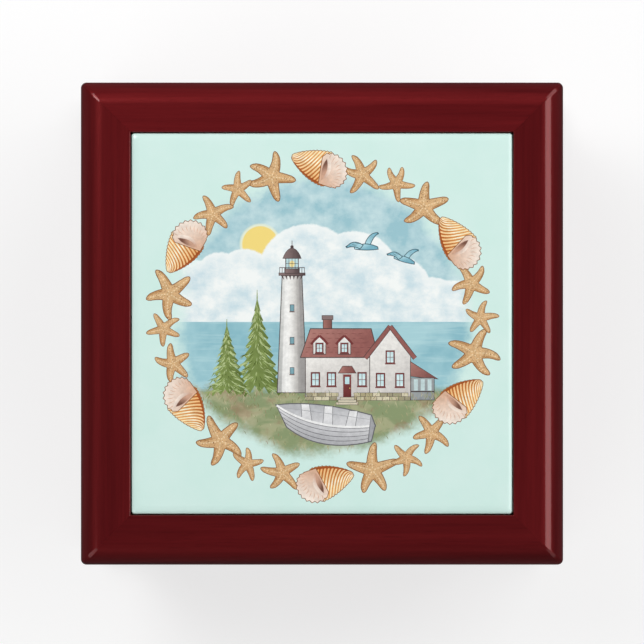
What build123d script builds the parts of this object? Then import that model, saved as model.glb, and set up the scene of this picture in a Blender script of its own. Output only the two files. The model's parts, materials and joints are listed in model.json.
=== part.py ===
"""Tile-topped keepsake box: a square lacquered wooden box, a hinged lid and a ceramic tile framed in the lid.

The frame's origin is the centre of the felt underside. +Z is up, +Y points at the hinges and -Y at the front.
"""

import os
from math import cos, radians, sin

from build123d import *

# ---- driving sizes, in millimetres ---------------------------------------------------------------
LID_SIDE = 137.5  # square lid, nominally 5 1/2 in
BOX_HEIGHT = 63.5  # 2 1/2 in, felt to tile
TILE_SIDE = 108.0  # nominal 4 1/4 in tile
LID_OVERHANG = 5.0  # lid past the walls, each side
BASE_OVERHANG = 4.0  # base moulding past the walls, each side
WALL_THICKNESS = 9.5
LID_THICKNESS = 17.9
PANEL_THICKNESS = 3.0  # board under the tile, and floor board
FELT_THICKNESS = 1.0
PAD_THICKNESS = 3.0  # foam-backed velvet on the floor and in the lid
CARD_THICKNESS = 1.5  # velvet-covered card on the walls
PARTING_GAP = 0.2  # between the closed lid and the wall tops
GLUE_GAP = 0.1  # room round boards and linings
FELT_INSET = 2.5  # felt inside the base's outline
CARD_BELOW_WALL = 2.0  # card's top edge below the wall's

# ---- sizes that follow from them -----------------------------------------------------------------
LID_HALF = LID_SIDE / 2
WALL_HALF = LID_HALF - LID_OVERHANG
INSIDE_HALF = WALL_HALF - WALL_THICKNESS
BASE_HALF = WALL_HALF + BASE_OVERHANG

BASE_HEIGHT = 10.0
BASE_TOP = FELT_THICKNESS + BASE_HEIGHT
FLOOR_TOP = FELT_THICKNESS + PANEL_THICKNESS
LID_BOTTOM = BOX_HEIGHT - LID_THICKNESS
WALL_TOP = LID_BOTTOM - PARTING_GAP
AXIS_Z = (LID_BOTTOM + WALL_TOP) / 2
PAD_SIDE = 2 * (INSIDE_HALF - GLUE_GAP)
CARD_BOTTOM = FLOOR_TOP + PAD_THICKNESS + GLUE_GAP
CARD_TOP = WALL_TOP - CARD_BELOW_WALL
FELT_SIDE = 2 * (BASE_HALF - FELT_INSET)

ROUND_OVER = 7.0  # outer top edge of the lid
BASE_ROUND_OVER = 3.7  # outer top edge of the base moulding
ARRIS = 0.8  # lower outer edge of lid and base
INNER_ARRIS = 0.4  # edge of the tile opening
LID_CORNER = 1.6  # corners of the lid and the base seen from above
WALL_CORNER = 1.5
FELT_CORNER = 2.0
PAD_CORNER = 1.0
PAD_EDGE = 0.9  # rolled edge of a pad's velvet
CARD_EDGE = 0.5  # rolled top edge of a wall card

TILE_GAP = 0.5
TILE_HALF = TILE_SIDE / 2
TILE_OPENING = TILE_HALF + TILE_GAP
TILE_CORNER = 1.5
TILE_EDGE = 0.7  # rolled edge of the glaze
TILE_RECESS = 6.0
TILE_PAD = 0.8  # thickness of the adhesive foam
TILE_PAD_SIDE = 22.0
TILE_PAD_SPACING = 62.0
TILE_PAD_CORNER = 1.5
LID_PANEL_TOP = BOX_HEIGHT - TILE_RECESS
LID_PANEL_BOTTOM = LID_PANEL_TOP - PANEL_THICKNESS
LID_GROOVE = 4.0  # depth of the panel groove, from the tile opening
FLOOR_REBATE = 5.0  # width of the floor board's rebate

HINGE_X = 38.0  # each hinge's middle, either side of the box's middle
AXIS_BEHIND_WALL = 1.2
AXIS_Y = WALL_HALF + AXIS_BEHIND_WALL
LEAF_LENGTH = 20.0
LEAF_REACH = 9.0  # axis to the leaf's front edge
LEAF_THICKNESS = 0.8
KNUCKLE_RADIUS = 1.6
BORE_RADIUS = 0.8
PIN_RADIUS = 0.75
PIN_HEAD = 0.5  # how far each of the pin's heads stands out
PIN_HEAD_RADIUS = 1.28
PIN_HEAD_DOME = 0.3
MIDDLE_KNUCKLE = 6.4  # length of the lid leaf's knuckle
KNUCKLE_GAP = 0.2  # between knuckles, along the pin
KNUCKLE_ROOM = 0.3  # between a knuckle and the wood round it
SEAT_ROOM = 0.6  # between a pin's head and the end of its notch
SCREW_X = 6.5  # each screw, either side of its hinge's middle
SCREW_FROM_AXIS = 5.9
SCREW_LENGTH = 6.0
SCREW_RADIUS = 0.8
HEAD_RADIUS = 1.5
SCREW_ROOM = 0.1  # leaf's hole past the screw
HEAD_ROOM = 0.05  # leaf's countersink past the screw's head
SLOT_WIDTH = 0.4
SLOT_DEPTH = 0.35
POINT_LENGTH = 1.4
CLEAR = 1.0  # how far a cut runs past the face that it opens

SIDES = {"right": 0, "back": 90, "left": 180, "front": 270}
HINGES = {"left": -HINGE_X, "right": HINGE_X}


# ---- helpers -------------------------------------------------------------------------------------
def side_plane(angle):
    """The plane of a side's cross-section: local x runs outwards from the box's middle, local y runs up."""
    outward = Vector(cos(radians(angle)), sin(radians(angle)), 0)
    return Plane(origin=(0, 0, 0), x_dir=outward, z_dir=outward.cross(Vector(0, 0, 1)))


def cut_mitres(angle):
    """Cuts both ends of the board being built at 45 degrees."""
    for turn in (-45, 45):
        normal = (cos(radians(angle + turn)), sin(radians(angle + turn)), 0)
        split(bisect_by=Plane(origin=(0, 0, 0), z_dir=normal), keep=Keep.TOP)


def round_corners(half, radius, height=BOX_HEIGHT):
    """Rounds the outer upright corner of the board being built."""
    with BuildSketch(Plane.XY) as outline:
        RectangleRounded(2 * half, 2 * half, radius)
    extrude(outline.sketch, amount=height, mode=Mode.INTERSECT)


def block(x_range, y_range, z_range, mode=Mode.ADD):
    """A square-edged block between the given limits."""
    with BuildSketch(Plane.XY.offset(z_range[0])) as outline:
        with Locations(((x_range[0] + x_range[1]) / 2, (y_range[0] + y_range[1]) / 2)):
            Rectangle(x_range[1] - x_range[0], y_range[1] - y_range[0])
    extrude(outline.sketch, amount=z_range[1] - z_range[0], mode=mode)


def keep(part, name):
    """Labels a finished piece and writes it to its own file."""
    part.label = name
    export_step(part, f"parts/{name}.step")


os.makedirs("parts", exist_ok=True)


# ---- hinge screws: slotted countersunk wood screws, two to a leaf --------------------------------
def screw_places():
    """Where the screws go, in plan."""
    return [
        (x + offset, AXIS_Y - SCREW_FROM_AXIS)
        for x in HINGES.values()
        for offset in (-SCREW_X, SCREW_X)
    ]


def screws(head_z, point_down):
    """Four screws whose flat heads lie at head_z."""
    way = -1 if point_down else 1
    head_end = head_z + way * (HEAD_RADIUS - SCREW_RADIUS)
    shank_end = head_z + way * (SCREW_LENGTH - POINT_LENGTH)
    with BuildPart() as group:
        for x, y in screw_places():
            with BuildSketch(Plane(origin=(x, y, 0), x_dir=(1, 0, 0), z_dir=(0, -1, 0))):
                with BuildLine():
                    Polyline(
                        (0, head_z),
                        (HEAD_RADIUS, head_z),
                        (SCREW_RADIUS, head_end),
                        (SCREW_RADIUS, shank_end),
                        (0, head_z + way * SCREW_LENGTH),
                        close=True,
                    )
                make_face()
            revolve(axis=Axis((x, y, 0), (0, 0, 1)))
            slot_z = sorted((head_z, head_z + way * SLOT_DEPTH))
            block(
                (x - HEAD_RADIUS, x + HEAD_RADIUS),
                (y - SLOT_WIDTH / 2, y + SLOT_WIDTH / 2),
                slot_z,
                mode=Mode.SUBTRACT,
            )
    return group


box_screws = screws(WALL_TOP, point_down=True)
lid_screws = screws(LID_BOTTOM, point_down=False)
keep(box_screws.part, "hinge_screws_box")
keep(lid_screws.part, "hinge_screws_lid")


# ---- hinges: brass butt hinges, let into the back wall's top edge and the lid's underside --------
def knuckle_spans(of_lid):
    """The lengths of pin that a leaf's knuckles cover, from the hinge's middle."""
    if of_lid:
        return [(-MIDDLE_KNUCKLE / 2, MIDDLE_KNUCKLE / 2)]
    start = MIDDLE_KNUCKLE / 2 + KNUCKLE_GAP
    return [(-LEAF_LENGTH / 2, -start), (start, LEAF_LENGTH / 2)]


def rod(x_range, radius, mode=Mode.ADD):
    """A round bar along the hinge axis."""
    with BuildSketch(Plane.YZ.offset(x_range[0])) as outline:
        with Locations((AXIS_Y, AXIS_Z)):
            Circle(radius)
    extrude(outline.sketch, amount=x_range[1] - x_range[0], mode=mode)


def leaf(middle, of_lid):
    """One leaf: a plate with its knuckles, bored for the pin and countersunk for two screws."""
    if of_lid:
        low = LID_BOTTOM
        head_plane = Plane(origin=(0, 0, LID_BOTTOM), x_dir=(1, 0, 0), z_dir=(0, 0, -1))
        screw_y = -(AXIS_Y - SCREW_FROM_AXIS)
    else:
        low = WALL_TOP - LEAF_THICKNESS
        head_plane = Plane.XY.offset(WALL_TOP)
        screw_y = AXIS_Y - SCREW_FROM_AXIS
    with BuildPart() as made:
        block(
            (middle - LEAF_LENGTH / 2, middle + LEAF_LENGTH / 2),
            (AXIS_Y - LEAF_REACH, AXIS_Y),
            (low, low + LEAF_THICKNESS),
        )
        for start, end in knuckle_spans(not of_lid):
            rod(
                (middle + start - KNUCKLE_GAP, middle + end + KNUCKLE_GAP),
                KNUCKLE_RADIUS + KNUCKLE_GAP,
                mode=Mode.SUBTRACT,
            )
        for start, end in knuckle_spans(of_lid):
            rod((middle + start, middle + end), KNUCKLE_RADIUS)
        rod((middle - LEAF_LENGTH, middle + LEAF_LENGTH), BORE_RADIUS, mode=Mode.SUBTRACT)
        holes = [
            head_plane.location * Location((middle + x, screw_y, 0)) for x in (-SCREW_X, SCREW_X)
        ]
        with Locations(*holes):
            CounterSinkHole(
                SCREW_RADIUS + SCREW_ROOM,
                HEAD_RADIUS + HEAD_ROOM,
                depth=LEAF_THICKNESS + CLEAR,
                counter_sink_angle=90,
            )
    return made


def pin(middle):
    """The pin, with a low domed head at each end."""
    with BuildPart() as made:
        rod((middle - LEAF_LENGTH / 2, middle + LEAF_LENGTH / 2), PIN_RADIUS)
        for start, way in ((middle + LEAF_LENGTH / 2, 1), (middle - LEAF_LENGTH / 2, -1)):
            rod(sorted((start, start + way * PIN_HEAD)), PIN_HEAD_RADIUS)
        for end_edges in (made.edges().group_by(Axis.X)[0], made.edges().group_by(Axis.X)[-1]):
            fillet(end_edges, PIN_HEAD_DOME)
    return made


for side_name, x in HINGES.items():
    keep(leaf(x, of_lid=False).part, f"hinge_{side_name}_box_leaf")
    keep(leaf(x, of_lid=True).part, f"hinge_{side_name}_lid_leaf")
    keep(pin(x).part, f"hinge_{side_name}_pin")


# ---- lid: four mitred rails round a board --------------------------------------------------------
def cut_hinge_seats(leaf_z, knuckle_z, back, screw_group):
    """Cuts the back board being built to take both hinges: a shallow housing for each leaf, a notch that is
    open to the back round each knuckle, and holes for the screws."""
    half_leaf = LEAF_LENGTH / 2 + GLUE_GAP
    half_notch = LEAF_LENGTH / 2 + PIN_HEAD + SEAT_ROOM
    for x in HINGES.values():
        block(
            (x - half_leaf, x + half_leaf),
            (AXIS_Y - LEAF_REACH - GLUE_GAP, AXIS_Y),
            leaf_z,
            mode=Mode.SUBTRACT,
        )
        block(
            (x - half_notch, x + half_notch),
            (AXIS_Y - KNUCKLE_RADIUS - KNUCKLE_ROOM, back),
            knuckle_z,
            mode=Mode.SUBTRACT,
        )
    add(screw_group.part, mode=Mode.SUBTRACT)


for side_name, angle in SIDES.items():
    with BuildPart() as lid_rail:
        with BuildSketch(side_plane(angle)):
            with BuildLine():
                crown = (LID_HALF - ROUND_OVER, BOX_HEIGHT)
                shoulder = (LID_HALF, BOX_HEIGHT - ROUND_OVER)
                Polyline(
                    crown,
                    (TILE_OPENING + INNER_ARRIS, BOX_HEIGHT),
                    (TILE_OPENING, BOX_HEIGHT - INNER_ARRIS),
                    (TILE_OPENING, LID_PANEL_TOP),
                    (TILE_OPENING + LID_GROOVE, LID_PANEL_TOP),
                    (TILE_OPENING + LID_GROOVE, LID_PANEL_BOTTOM),
                    (INSIDE_HALF, LID_PANEL_BOTTOM),
                    (INSIDE_HALF, LID_BOTTOM),
                    (LID_HALF - ARRIS, LID_BOTTOM),
                    (LID_HALF, LID_BOTTOM + ARRIS),
                    shoulder,
                )
                RadiusArc(shoulder, crown, -ROUND_OVER)
            make_face()
        extrude(amount=LID_HALF, both=True)
        cut_mitres(angle)
        round_corners(LID_HALF, LID_CORNER)
        if side_name == "back":
            cut_hinge_seats(
                (LID_BOTTOM - CLEAR, LID_BOTTOM + LEAF_THICKNESS),
                (LID_BOTTOM - CLEAR, AXIS_Z + KNUCKLE_RADIUS + KNUCKLE_ROOM),
                LID_HALF + CLEAR,
                lid_screws,
            )
    keep(lid_rail.part, f"lid_rail_{side_name}")

with BuildPart() as lid_panel:
    panel_half = TILE_OPENING + LID_GROOVE - GLUE_GAP
    block((-panel_half, panel_half), (-panel_half, panel_half), (LID_PANEL_BOTTOM, LID_PANEL_TOP))
keep(lid_panel.part, "lid_panel")

with BuildPart() as lid_lining:
    with BuildSketch(Plane.XY.offset(LID_PANEL_BOTTOM - PAD_THICKNESS)):
        RectangleRounded(PAD_SIDE, PAD_SIDE, PAD_CORNER)
    extrude(amount=PAD_THICKNESS)
    fillet(lid_lining.faces().sort_by(Axis.Z)[0].edges(), PAD_EDGE)
keep(lid_lining.part, "lid_lining")

# ---- tile, and the foam pads that hold it --------------------------------------------------------
with BuildPart() as tile_pads:
    with BuildSketch(Plane.XY.offset(LID_PANEL_TOP)):
        with GridLocations(TILE_PAD_SPACING, TILE_PAD_SPACING, 2, 2):
            RectangleRounded(TILE_PAD_SIDE, TILE_PAD_SIDE, TILE_PAD_CORNER)
    extrude(amount=TILE_PAD)
keep(tile_pads.part, "tile_adhesive_pads")

with BuildPart() as tile:
    with BuildSketch(Plane.XY.offset(LID_PANEL_TOP + TILE_PAD)):
        RectangleRounded(TILE_SIDE, TILE_SIDE, TILE_CORNER)
    extrude(amount=TILE_RECESS - TILE_PAD)
    fillet(tile.faces().sort_by(Axis.Z)[-1].edges(), TILE_EDGE)
keep(tile.part, "ceramic_tile")


# ---- box walls: four mitred boards ---------------------------------------------------------------
for side_name, angle in SIDES.items():
    with BuildPart() as wall:
        with BuildSketch(side_plane(angle)):
            with Locations(((INSIDE_HALF + WALL_HALF) / 2, (BASE_TOP + WALL_TOP) / 2)):
                Rectangle(WALL_THICKNESS, WALL_TOP - BASE_TOP)
        extrude(amount=WALL_HALF, both=True)
        cut_mitres(angle)
        round_corners(WALL_HALF, WALL_CORNER)
        if side_name == "back":
            cut_hinge_seats(
                (WALL_TOP - LEAF_THICKNESS, WALL_TOP + CLEAR),
                (AXIS_Z - KNUCKLE_RADIUS - KNUCKLE_ROOM, WALL_TOP + CLEAR),
                AXIS_Y + CLEAR,
                box_screws,
            )
    keep(wall.part, f"wall_{side_name}")

# ---- base: four mitred mouldings, a floor board in their rebate, and felt under it ---------------
for side_name, angle in SIDES.items():
    with BuildPart() as base_rail:
        with BuildSketch(side_plane(angle)):
            with BuildLine():
                crown = (BASE_HALF - BASE_ROUND_OVER, BASE_TOP)
                shoulder = (BASE_HALF, BASE_TOP - BASE_ROUND_OVER)
                Polyline(
                    crown,
                    (INSIDE_HALF, BASE_TOP),
                    (INSIDE_HALF, FLOOR_TOP),
                    (INSIDE_HALF + FLOOR_REBATE, FLOOR_TOP),
                    (INSIDE_HALF + FLOOR_REBATE, FELT_THICKNESS),
                    (BASE_HALF - ARRIS, FELT_THICKNESS),
                    (BASE_HALF, FELT_THICKNESS + ARRIS),
                    shoulder,
                )
                RadiusArc(shoulder, crown, -BASE_ROUND_OVER)
            make_face()
        extrude(amount=BASE_HALF, both=True)
        cut_mitres(angle)
        round_corners(BASE_HALF, LID_CORNER)
    keep(base_rail.part, f"base_rail_{side_name}")

with BuildPart() as floor_panel:
    panel_half = INSIDE_HALF + FLOOR_REBATE - GLUE_GAP
    block((-panel_half, panel_half), (-panel_half, panel_half), (FELT_THICKNESS, FLOOR_TOP))
keep(floor_panel.part, "floor_panel")

with BuildPart() as base_felt:
    with BuildSketch(Plane.XY):
        RectangleRounded(FELT_SIDE, FELT_SIDE, FELT_CORNER)
    extrude(amount=FELT_THICKNESS)
keep(base_felt.part, "base_felt")

# ---- linings: a padded floor, and velvet-covered cards on the walls ------------------------------
with BuildPart() as floor_lining:
    with BuildSketch(Plane.XY.offset(FLOOR_TOP)):
        RectangleRounded(PAD_SIDE, PAD_SIDE, PAD_CORNER)
    extrude(amount=PAD_THICKNESS)
    fillet(floor_lining.faces().sort_by(Axis.Z)[-1].edges(), PAD_EDGE)
keep(floor_lining.part, "floor_lining")

for side_name, angle in SIDES.items():
    card_end = INSIDE_HALF - GLUE_GAP
    if side_name in ("left", "right"):
        card_end -= CARD_THICKNESS + GLUE_GAP
    with BuildPart() as card:
        with BuildSketch(side_plane(angle)):
            with Locations((INSIDE_HALF - GLUE_GAP - CARD_THICKNESS / 2, (CARD_BOTTOM + CARD_TOP) / 2)):
                Rectangle(CARD_THICKNESS, CARD_TOP - CARD_BOTTOM)
        extrude(amount=card_end, both=True)
        fillet(card.faces().sort_by(Axis.Z)[-1].edges(), CARD_EDGE)
    keep(card.part, f"wall_lining_{side_name}")
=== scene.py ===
"""Tile-topped keepsake box: lacquered wooden box and lid, printed ceramic tile, velvet linings, brass hinges.

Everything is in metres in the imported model's frame: the origin is the centre of the felt underside, +Z is up
and +Y points at the hinges.
"""

import json
import random
from math import acos, cos, pi, radians, sin, sqrt

import bmesh
import bpy
import numpy as np
from mathutils import Matrix, Vector, noise
from mathutils.geometry import delaunay_2d_cdt


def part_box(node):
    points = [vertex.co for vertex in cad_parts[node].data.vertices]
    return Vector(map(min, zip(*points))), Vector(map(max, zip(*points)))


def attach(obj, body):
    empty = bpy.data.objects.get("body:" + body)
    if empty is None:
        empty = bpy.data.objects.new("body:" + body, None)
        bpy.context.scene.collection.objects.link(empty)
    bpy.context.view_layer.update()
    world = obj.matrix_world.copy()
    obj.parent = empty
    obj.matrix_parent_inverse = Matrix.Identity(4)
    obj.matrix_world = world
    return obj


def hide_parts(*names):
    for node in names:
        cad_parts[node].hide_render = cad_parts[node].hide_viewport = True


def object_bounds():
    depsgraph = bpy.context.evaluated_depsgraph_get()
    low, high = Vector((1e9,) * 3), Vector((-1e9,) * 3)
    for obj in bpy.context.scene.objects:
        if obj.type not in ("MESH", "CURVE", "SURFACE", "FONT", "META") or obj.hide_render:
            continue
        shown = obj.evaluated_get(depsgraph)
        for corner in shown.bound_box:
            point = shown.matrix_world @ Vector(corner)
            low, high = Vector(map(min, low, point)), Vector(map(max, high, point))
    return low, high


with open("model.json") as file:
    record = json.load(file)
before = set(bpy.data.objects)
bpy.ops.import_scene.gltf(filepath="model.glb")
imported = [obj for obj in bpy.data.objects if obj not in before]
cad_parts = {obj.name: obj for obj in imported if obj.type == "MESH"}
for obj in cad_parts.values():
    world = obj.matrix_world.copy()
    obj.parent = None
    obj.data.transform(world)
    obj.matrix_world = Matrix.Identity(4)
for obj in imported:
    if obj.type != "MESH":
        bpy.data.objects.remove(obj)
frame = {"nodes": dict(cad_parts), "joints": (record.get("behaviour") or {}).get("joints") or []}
cad_low, cad_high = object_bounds()
MM = 0.001

# ---- camera and studio ---------------------------------------------------------------------------
# A long lens looks straight down at the lid. The soft boxes stand round the table and none hangs over it, so
# the lid's flat top and the glaze mirror the dark ceiling and keep their own colour.
CAMERA_HEIGHT = 1.25
VIEW_WIDTH = 1.336 * (cad_high.x - cad_low.x)
VIEW_RISE = 0.46 * MM
OUTLINE_DROP = 7 * MM

camera = bpy.data.objects.new("camera", bpy.data.cameras.new("camera"))
camera.location = (0, VIEW_RISE, cad_high.z + CAMERA_HEIGHT)
camera.data.lens = camera.data.sensor_width * (CAMERA_HEIGHT + OUTLINE_DROP) / VIEW_WIDTH
camera.data.clip_end = 10
bpy.context.scene.collection.objects.link(camera)
bpy.context.scene.camera = camera
bpy.context.scene.view_settings.view_transform = "Standard"


def soft_box(name, azimuth, from_zenith, distance, width, height, radiance):
    """A square-on rectangular light. Azimuth runs anticlockwise from +X, in degrees."""
    light = bpy.data.objects.new(name, bpy.data.lights.new(name, "AREA"))
    light.data.shape = "RECTANGLE"
    light.data.size, light.data.size_y = width, height
    light.data.energy = radiance * pi * width * height
    a, z = radians(azimuth), radians(from_zenith)
    out = Vector((cos(a) * sin(z), sin(a) * sin(z), cos(z)))
    light.location = out * distance
    light.rotation_mode = "QUATERNION"
    light.rotation_quaternion = out.to_track_quat("Z", "Y")
    bpy.context.scene.collection.objects.link(light)


soft_box("right_box", azimuth=3, from_zenith=44, distance=0.9, width=0.5, height=0.42, radiance=3.0)
soft_box("back_box", azimuth=127, from_zenith=42, distance=1.1, width=0.5, height=0.55, radiance=3.5)
soft_box("left_box", azimuth=144, from_zenith=38, distance=1.1, width=0.4, height=0.45, radiance=5.6)
soft_box("back_right_box", azimuth=45, from_zenith=58, distance=1.2, width=1.0, height=1.0, radiance=2.1)
soft_box("front_left_box", azimuth=224, from_zenith=55, distance=1.3, width=1.2, height=0.9, radiance=1.3)
soft_box("front_right_box", azimuth=314, from_zenith=55, distance=1.3, width=1.1, height=0.9, radiance=0.8)

world = bpy.data.worlds.new("studio")
world.use_nodes = True
world.node_tree.nodes["Background"].inputs["Color"].default_value = (0.95, 0.97, 1.0, 1)
world.node_tree.nodes["Background"].inputs["Strength"].default_value = 0.05
bpy.context.scene.world = world

FLOOR_SIZE = 4.0
floor = bpy.data.objects.new("floor", bpy.data.meshes.new("floor"))
floor_mesh = bmesh.new()
bmesh.ops.create_grid(floor_mesh, x_segments=1, y_segments=1, size=FLOOR_SIZE / 2)
floor_mesh.to_mesh(floor.data)
floor_mesh.free()
bpy.context.scene.collection.objects.link(floor)
floor_paper = bpy.data.materials.new("white_paper")
floor_paper.use_nodes = True
floor_look = {
    "Base Color": (0.35, 0.35, 0.35, 1),
    "Roughness": 0.9,
    "Specular IOR Level": 0.0,
    "Emission Color": (1, 1, 1, 1),
    "Emission Strength": 0.66,
}
for socket, value in floor_look.items():
    floor_paper.node_tree.nodes["Principled BSDF"].inputs[socket].default_value = value
floor.data.materials.append(floor_paper)
floor.visible_glossy = False


# ---- box walls -----------------------------------------------------------------------------------
# Four boards stand on the base moulding, mitred at the corners and glued. They are stained mahogany red and
# sprayed with clear gloss lacquer, with fine straight grain along each. The back one is cut for the hinges.
def hex_colour(code):
    """A colour from its six-figure screen code."""
    parts = [int(code[i : i + 2], 16) / 255 for i in (0, 2, 4)]
    return tuple(c / 12.92 if c <= 0.04045 else ((c + 0.055) / 1.055) ** 2.4 for c in parts) + (1.0,)


def feed(tree, socket, value):
    """Joins another node's output to a socket, or sets a value or a six-figure colour on it."""
    if isinstance(value, bpy.types.NodeSocket):
        tree.links.new(value, socket)
    else:
        socket.default_value = hex_colour(value) if isinstance(value, str) else value


def node(tree, kind, inputs=(), **settings):
    """Adds a shader node. inputs gives what feeds each socket, by the socket's name or number."""
    made = tree.nodes.new("ShaderNode" + kind)
    for key, value in settings.items():
        setattr(made, key, value)
    for key, value in dict(inputs).items():
        feed(tree, made.inputs[key], value)
    return made


def maths(tree, operation, *values):
    """Adds a Math node and gives its output."""
    return node(tree, "Math", dict(enumerate(values)), operation=operation).outputs[0]


def spread(tree, value, low, high, to_low=0.0, to_high=1.0, smooth=False):
    """Adds a Map Range node that takes low..high to to_low..to_high, and gives its output."""
    made = node(tree, "MapRange", {0: value, 1: low, 2: high, 3: to_low, 4: to_high})
    if smooth:
        made.interpolation_type = "SMOOTHSTEP"
    return made.outputs[0]


def plus(tree, value, other, times):
    """value and a multiple of other, added."""
    return maths(tree, "ADD", value, maths(tree, "MULTIPLY", other, times))


def mixed(tree, factor, first, second, blend="MIX"):
    """Adds a colour Mix node and gives its output."""
    inputs = {0: factor, 6: first, 7: second}
    return node(tree, "Mix", inputs, data_type="RGBA", blend_type=blend).outputs[2]


def stretched_noise(tree, vector, stretch, detail=3.0, roughness=0.5, distortion=0.0):
    """Adds a Noise Texture and gives its value. stretch is its cells per metre, for all axes or for each."""
    scale = stretch if isinstance(stretch, tuple) else (stretch, stretch, stretch)
    mapped = node(tree, "Mapping", {"Vector": vector, "Scale": scale})
    inputs = {"Vector": mapped.outputs[0], "Scale": 1.0, "Detail": detail, "Roughness": roughness}
    return node(tree, "TexNoise", {**inputs, "Distortion": distortion}).outputs["Fac"]


def scaled(tree, vector, scale):
    """A vector or colour times a number."""
    return node(tree, "VectorMath", {0: vector, "Scale": scale}, operation="SCALE").outputs[0]


def own_place(tree):
    """Where a point of the surface lies on its own piece."""
    return node(tree, "TexCoord").outputs["Object"]


def material(name, **shader_values):
    """A new material and its Principled shader, with plain values set on the shader's own sockets."""
    made = bpy.data.materials.new(name)
    made.use_nodes = True
    shader = made.node_tree.nodes["Principled BSDF"]
    for key, value in shader_values.items():
        shader.inputs[key.replace("_", " ")].default_value = value
    return made, made.node_tree, shader


def finish(tree, shader, colour, height, strength, depth):
    """Gives a shader its colour and its fine relief, and gives back the normal of that relief."""
    feed(tree, shader.inputs["Base Color"], colour)
    bump = node(tree, "Bump", {"Strength": strength, "Distance": depth, "Height": height}).outputs[0]
    feed(tree, shader.inputs["Normal"], bump)
    return bump


def group(name, inputs, outputs):
    """A shader node group. inputs and outputs give each socket's name and type, Float, Color or Vector."""
    tree = bpy.data.node_groups.new(name, "ShaderNodeTree")
    for direction, sockets in (("INPUT", inputs), ("OUTPUT", outputs)):
        for socket_name, kind in sockets.items():
            tree.interface.new_socket(socket_name, in_out=direction, socket_type="NodeSocket" + kind)
    return tree, tree.nodes.new("NodeGroupInput").outputs, tree.nodes.new("NodeGroupOutput").inputs


def grain_group():
    """Straight-grained wood: slow colour bands, fine fibres and short dark pores, all along the board."""
    tree, given, put_out = group(
        "wood_grain",
        {"Vector": "Vector", "Light": "Color", "Dark": "Color", "Pores": "Float"},
        {"Color": "Color", "Height": "Float"},
    )
    bands = stretched_noise(tree, given["Vector"], (7, 210, 90), detail=2, distortion=0.6)
    fibres = stretched_noise(tree, given["Vector"], (40, 1500, 1100), detail=4, roughness=0.65)
    pores = stretched_noise(tree, given["Vector"], (170, 4200, 3800), detail=1)
    pore_mask = spread(tree, pores, 0.62, 0.74, smooth=True)
    tone = spread(tree, plus(tree, maths(tree, "MULTIPLY", bands, 0.62), fibres, 0.38), 0.3, 0.7)
    wood = mixed(tree, tone, given["Dark"], given["Light"])
    shade = maths(tree, "MULTIPLY", pore_mask, given["Pores"])
    feed(tree, put_out["Color"], mixed(tree, shade, wood, given["Dark"]))
    feed(tree, put_out["Height"], maths(tree, "SUBTRACT", maths(tree, "MULTIPLY", fibres, 0.5), pore_mask))
    return tree


wood_grain = grain_group()


def lacquered_wood():
    """Mahogany stain under clear gloss lacquer. The grain follows the attribute that each board carries; a
    second attribute makes a whole board lighter or darker as painted light.
    """
    made, tree, shader = material(
        "lacquered_wood",
        Roughness=0.3,
        Specular_IOR_Level=0.8,
        Specular_Tint=(1.0, 0.1, 0.1, 1.0),
        Coat_Weight=0.6,
        Coat_Roughness=0.06,
        Coat_IOR=1.5,
    )
    along = node(tree, "Attribute", attribute_name="grain").outputs["Vector"]
    painted_board_light = node(tree, "Attribute", attribute_name="painted_board_light").outputs["Fac"]
    look = {"Vector": along, "Light": "5F1417", "Dark": "43090D", "Pores": 0.55}
    grain = node(tree, "Group", look, node_tree=wood_grain)
    peel = stretched_noise(tree, along, 420, detail=1)
    height = maths(tree, "ADD", maths(tree, "MULTIPLY", grain.outputs["Height"], 0.25), peel)
    # Each board's colour is scaled by its painted light level: painted light on some sides, painted shade on
    # others.
    finish(tree, shader, scaled(tree, grain.outputs["Color"], painted_board_light), height, 0.25, 0.03 * MM)
    return made


lacquer = lacquered_wood()

SIDES = {"right": 0.0, "back": 90.0, "left": 180.0, "front": 270.0}
CORNER_STEPS = 6
LEAST_CORNER = 0.15 * MM
MITRE_GROOVE = 0.04 * MM
SHARP_ANGLE = radians(32)

axis_y, axis_z = frame["joints"][0]["pos_m"][1:]
wall_low, wall_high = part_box("wall_right")
wall_half = wall_high.x
inside_half = wall_low.x


def new_piece(name, mesh, *materials):
    """Turns a bmesh into an object of the scene, smooth shaded with its sharp edges kept."""
    piece = bpy.data.objects.new(name, bpy.data.meshes.new(name))
    mesh.to_mesh(piece.data)
    mesh.free()
    piece.data.polygons.foreach_set("use_smooth", [True] * len(piece.data.polygons))
    piece.data.set_sharp_from_angle(angle=SHARP_ANGLE)
    for made in materials:
        piece.data.materials.append(made)
    bpy.context.scene.collection.objects.link(piece)
    return piece


def settle(piece):
    """Makes the result of a piece's modifiers its own plain mesh."""
    shown = piece.evaluated_get(bpy.context.evaluated_depsgraph_get())
    mesh = bpy.data.meshes.new_from_object(shown)
    piece.modifiers.clear()
    piece.data = mesh


def even_shading(piece):
    """Large flat faces keep flat shading up to where a rounded edge begins."""
    piece.modifiers.new("even_shading", "WEIGHTED_NORMAL").keep_sharp = True
    settle(piece)


def arc(middle, radius, start, end, steps):
    """Points of an arc, from one angle in degrees to another."""
    turns = [radians(start + (end - start) * i / steps) for i in range(steps + 1)]
    return [(middle[0] + radius * cos(t), middle[1] + radius * sin(t)) for t in turns]


def grown(outline, distance):
    """An anticlockwise outline moved outwards by a distance, or inwards where that is negative."""
    points = [Vector(p) for p in outline]
    moved = []
    for before, here, after in zip(points[-1:] + points[:-1], points, points[1:] + points[:1]):
        first, second = (here - before).normalized(), (after - here).normalized()
        normal = Vector((first.y + second.y, -first.x - second.x)).normalized()
        spare = max(0.5, normal.dot(Vector((second.y, -second.x))))
        moved.append(here + normal * (distance / spare))
    return moved


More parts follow.
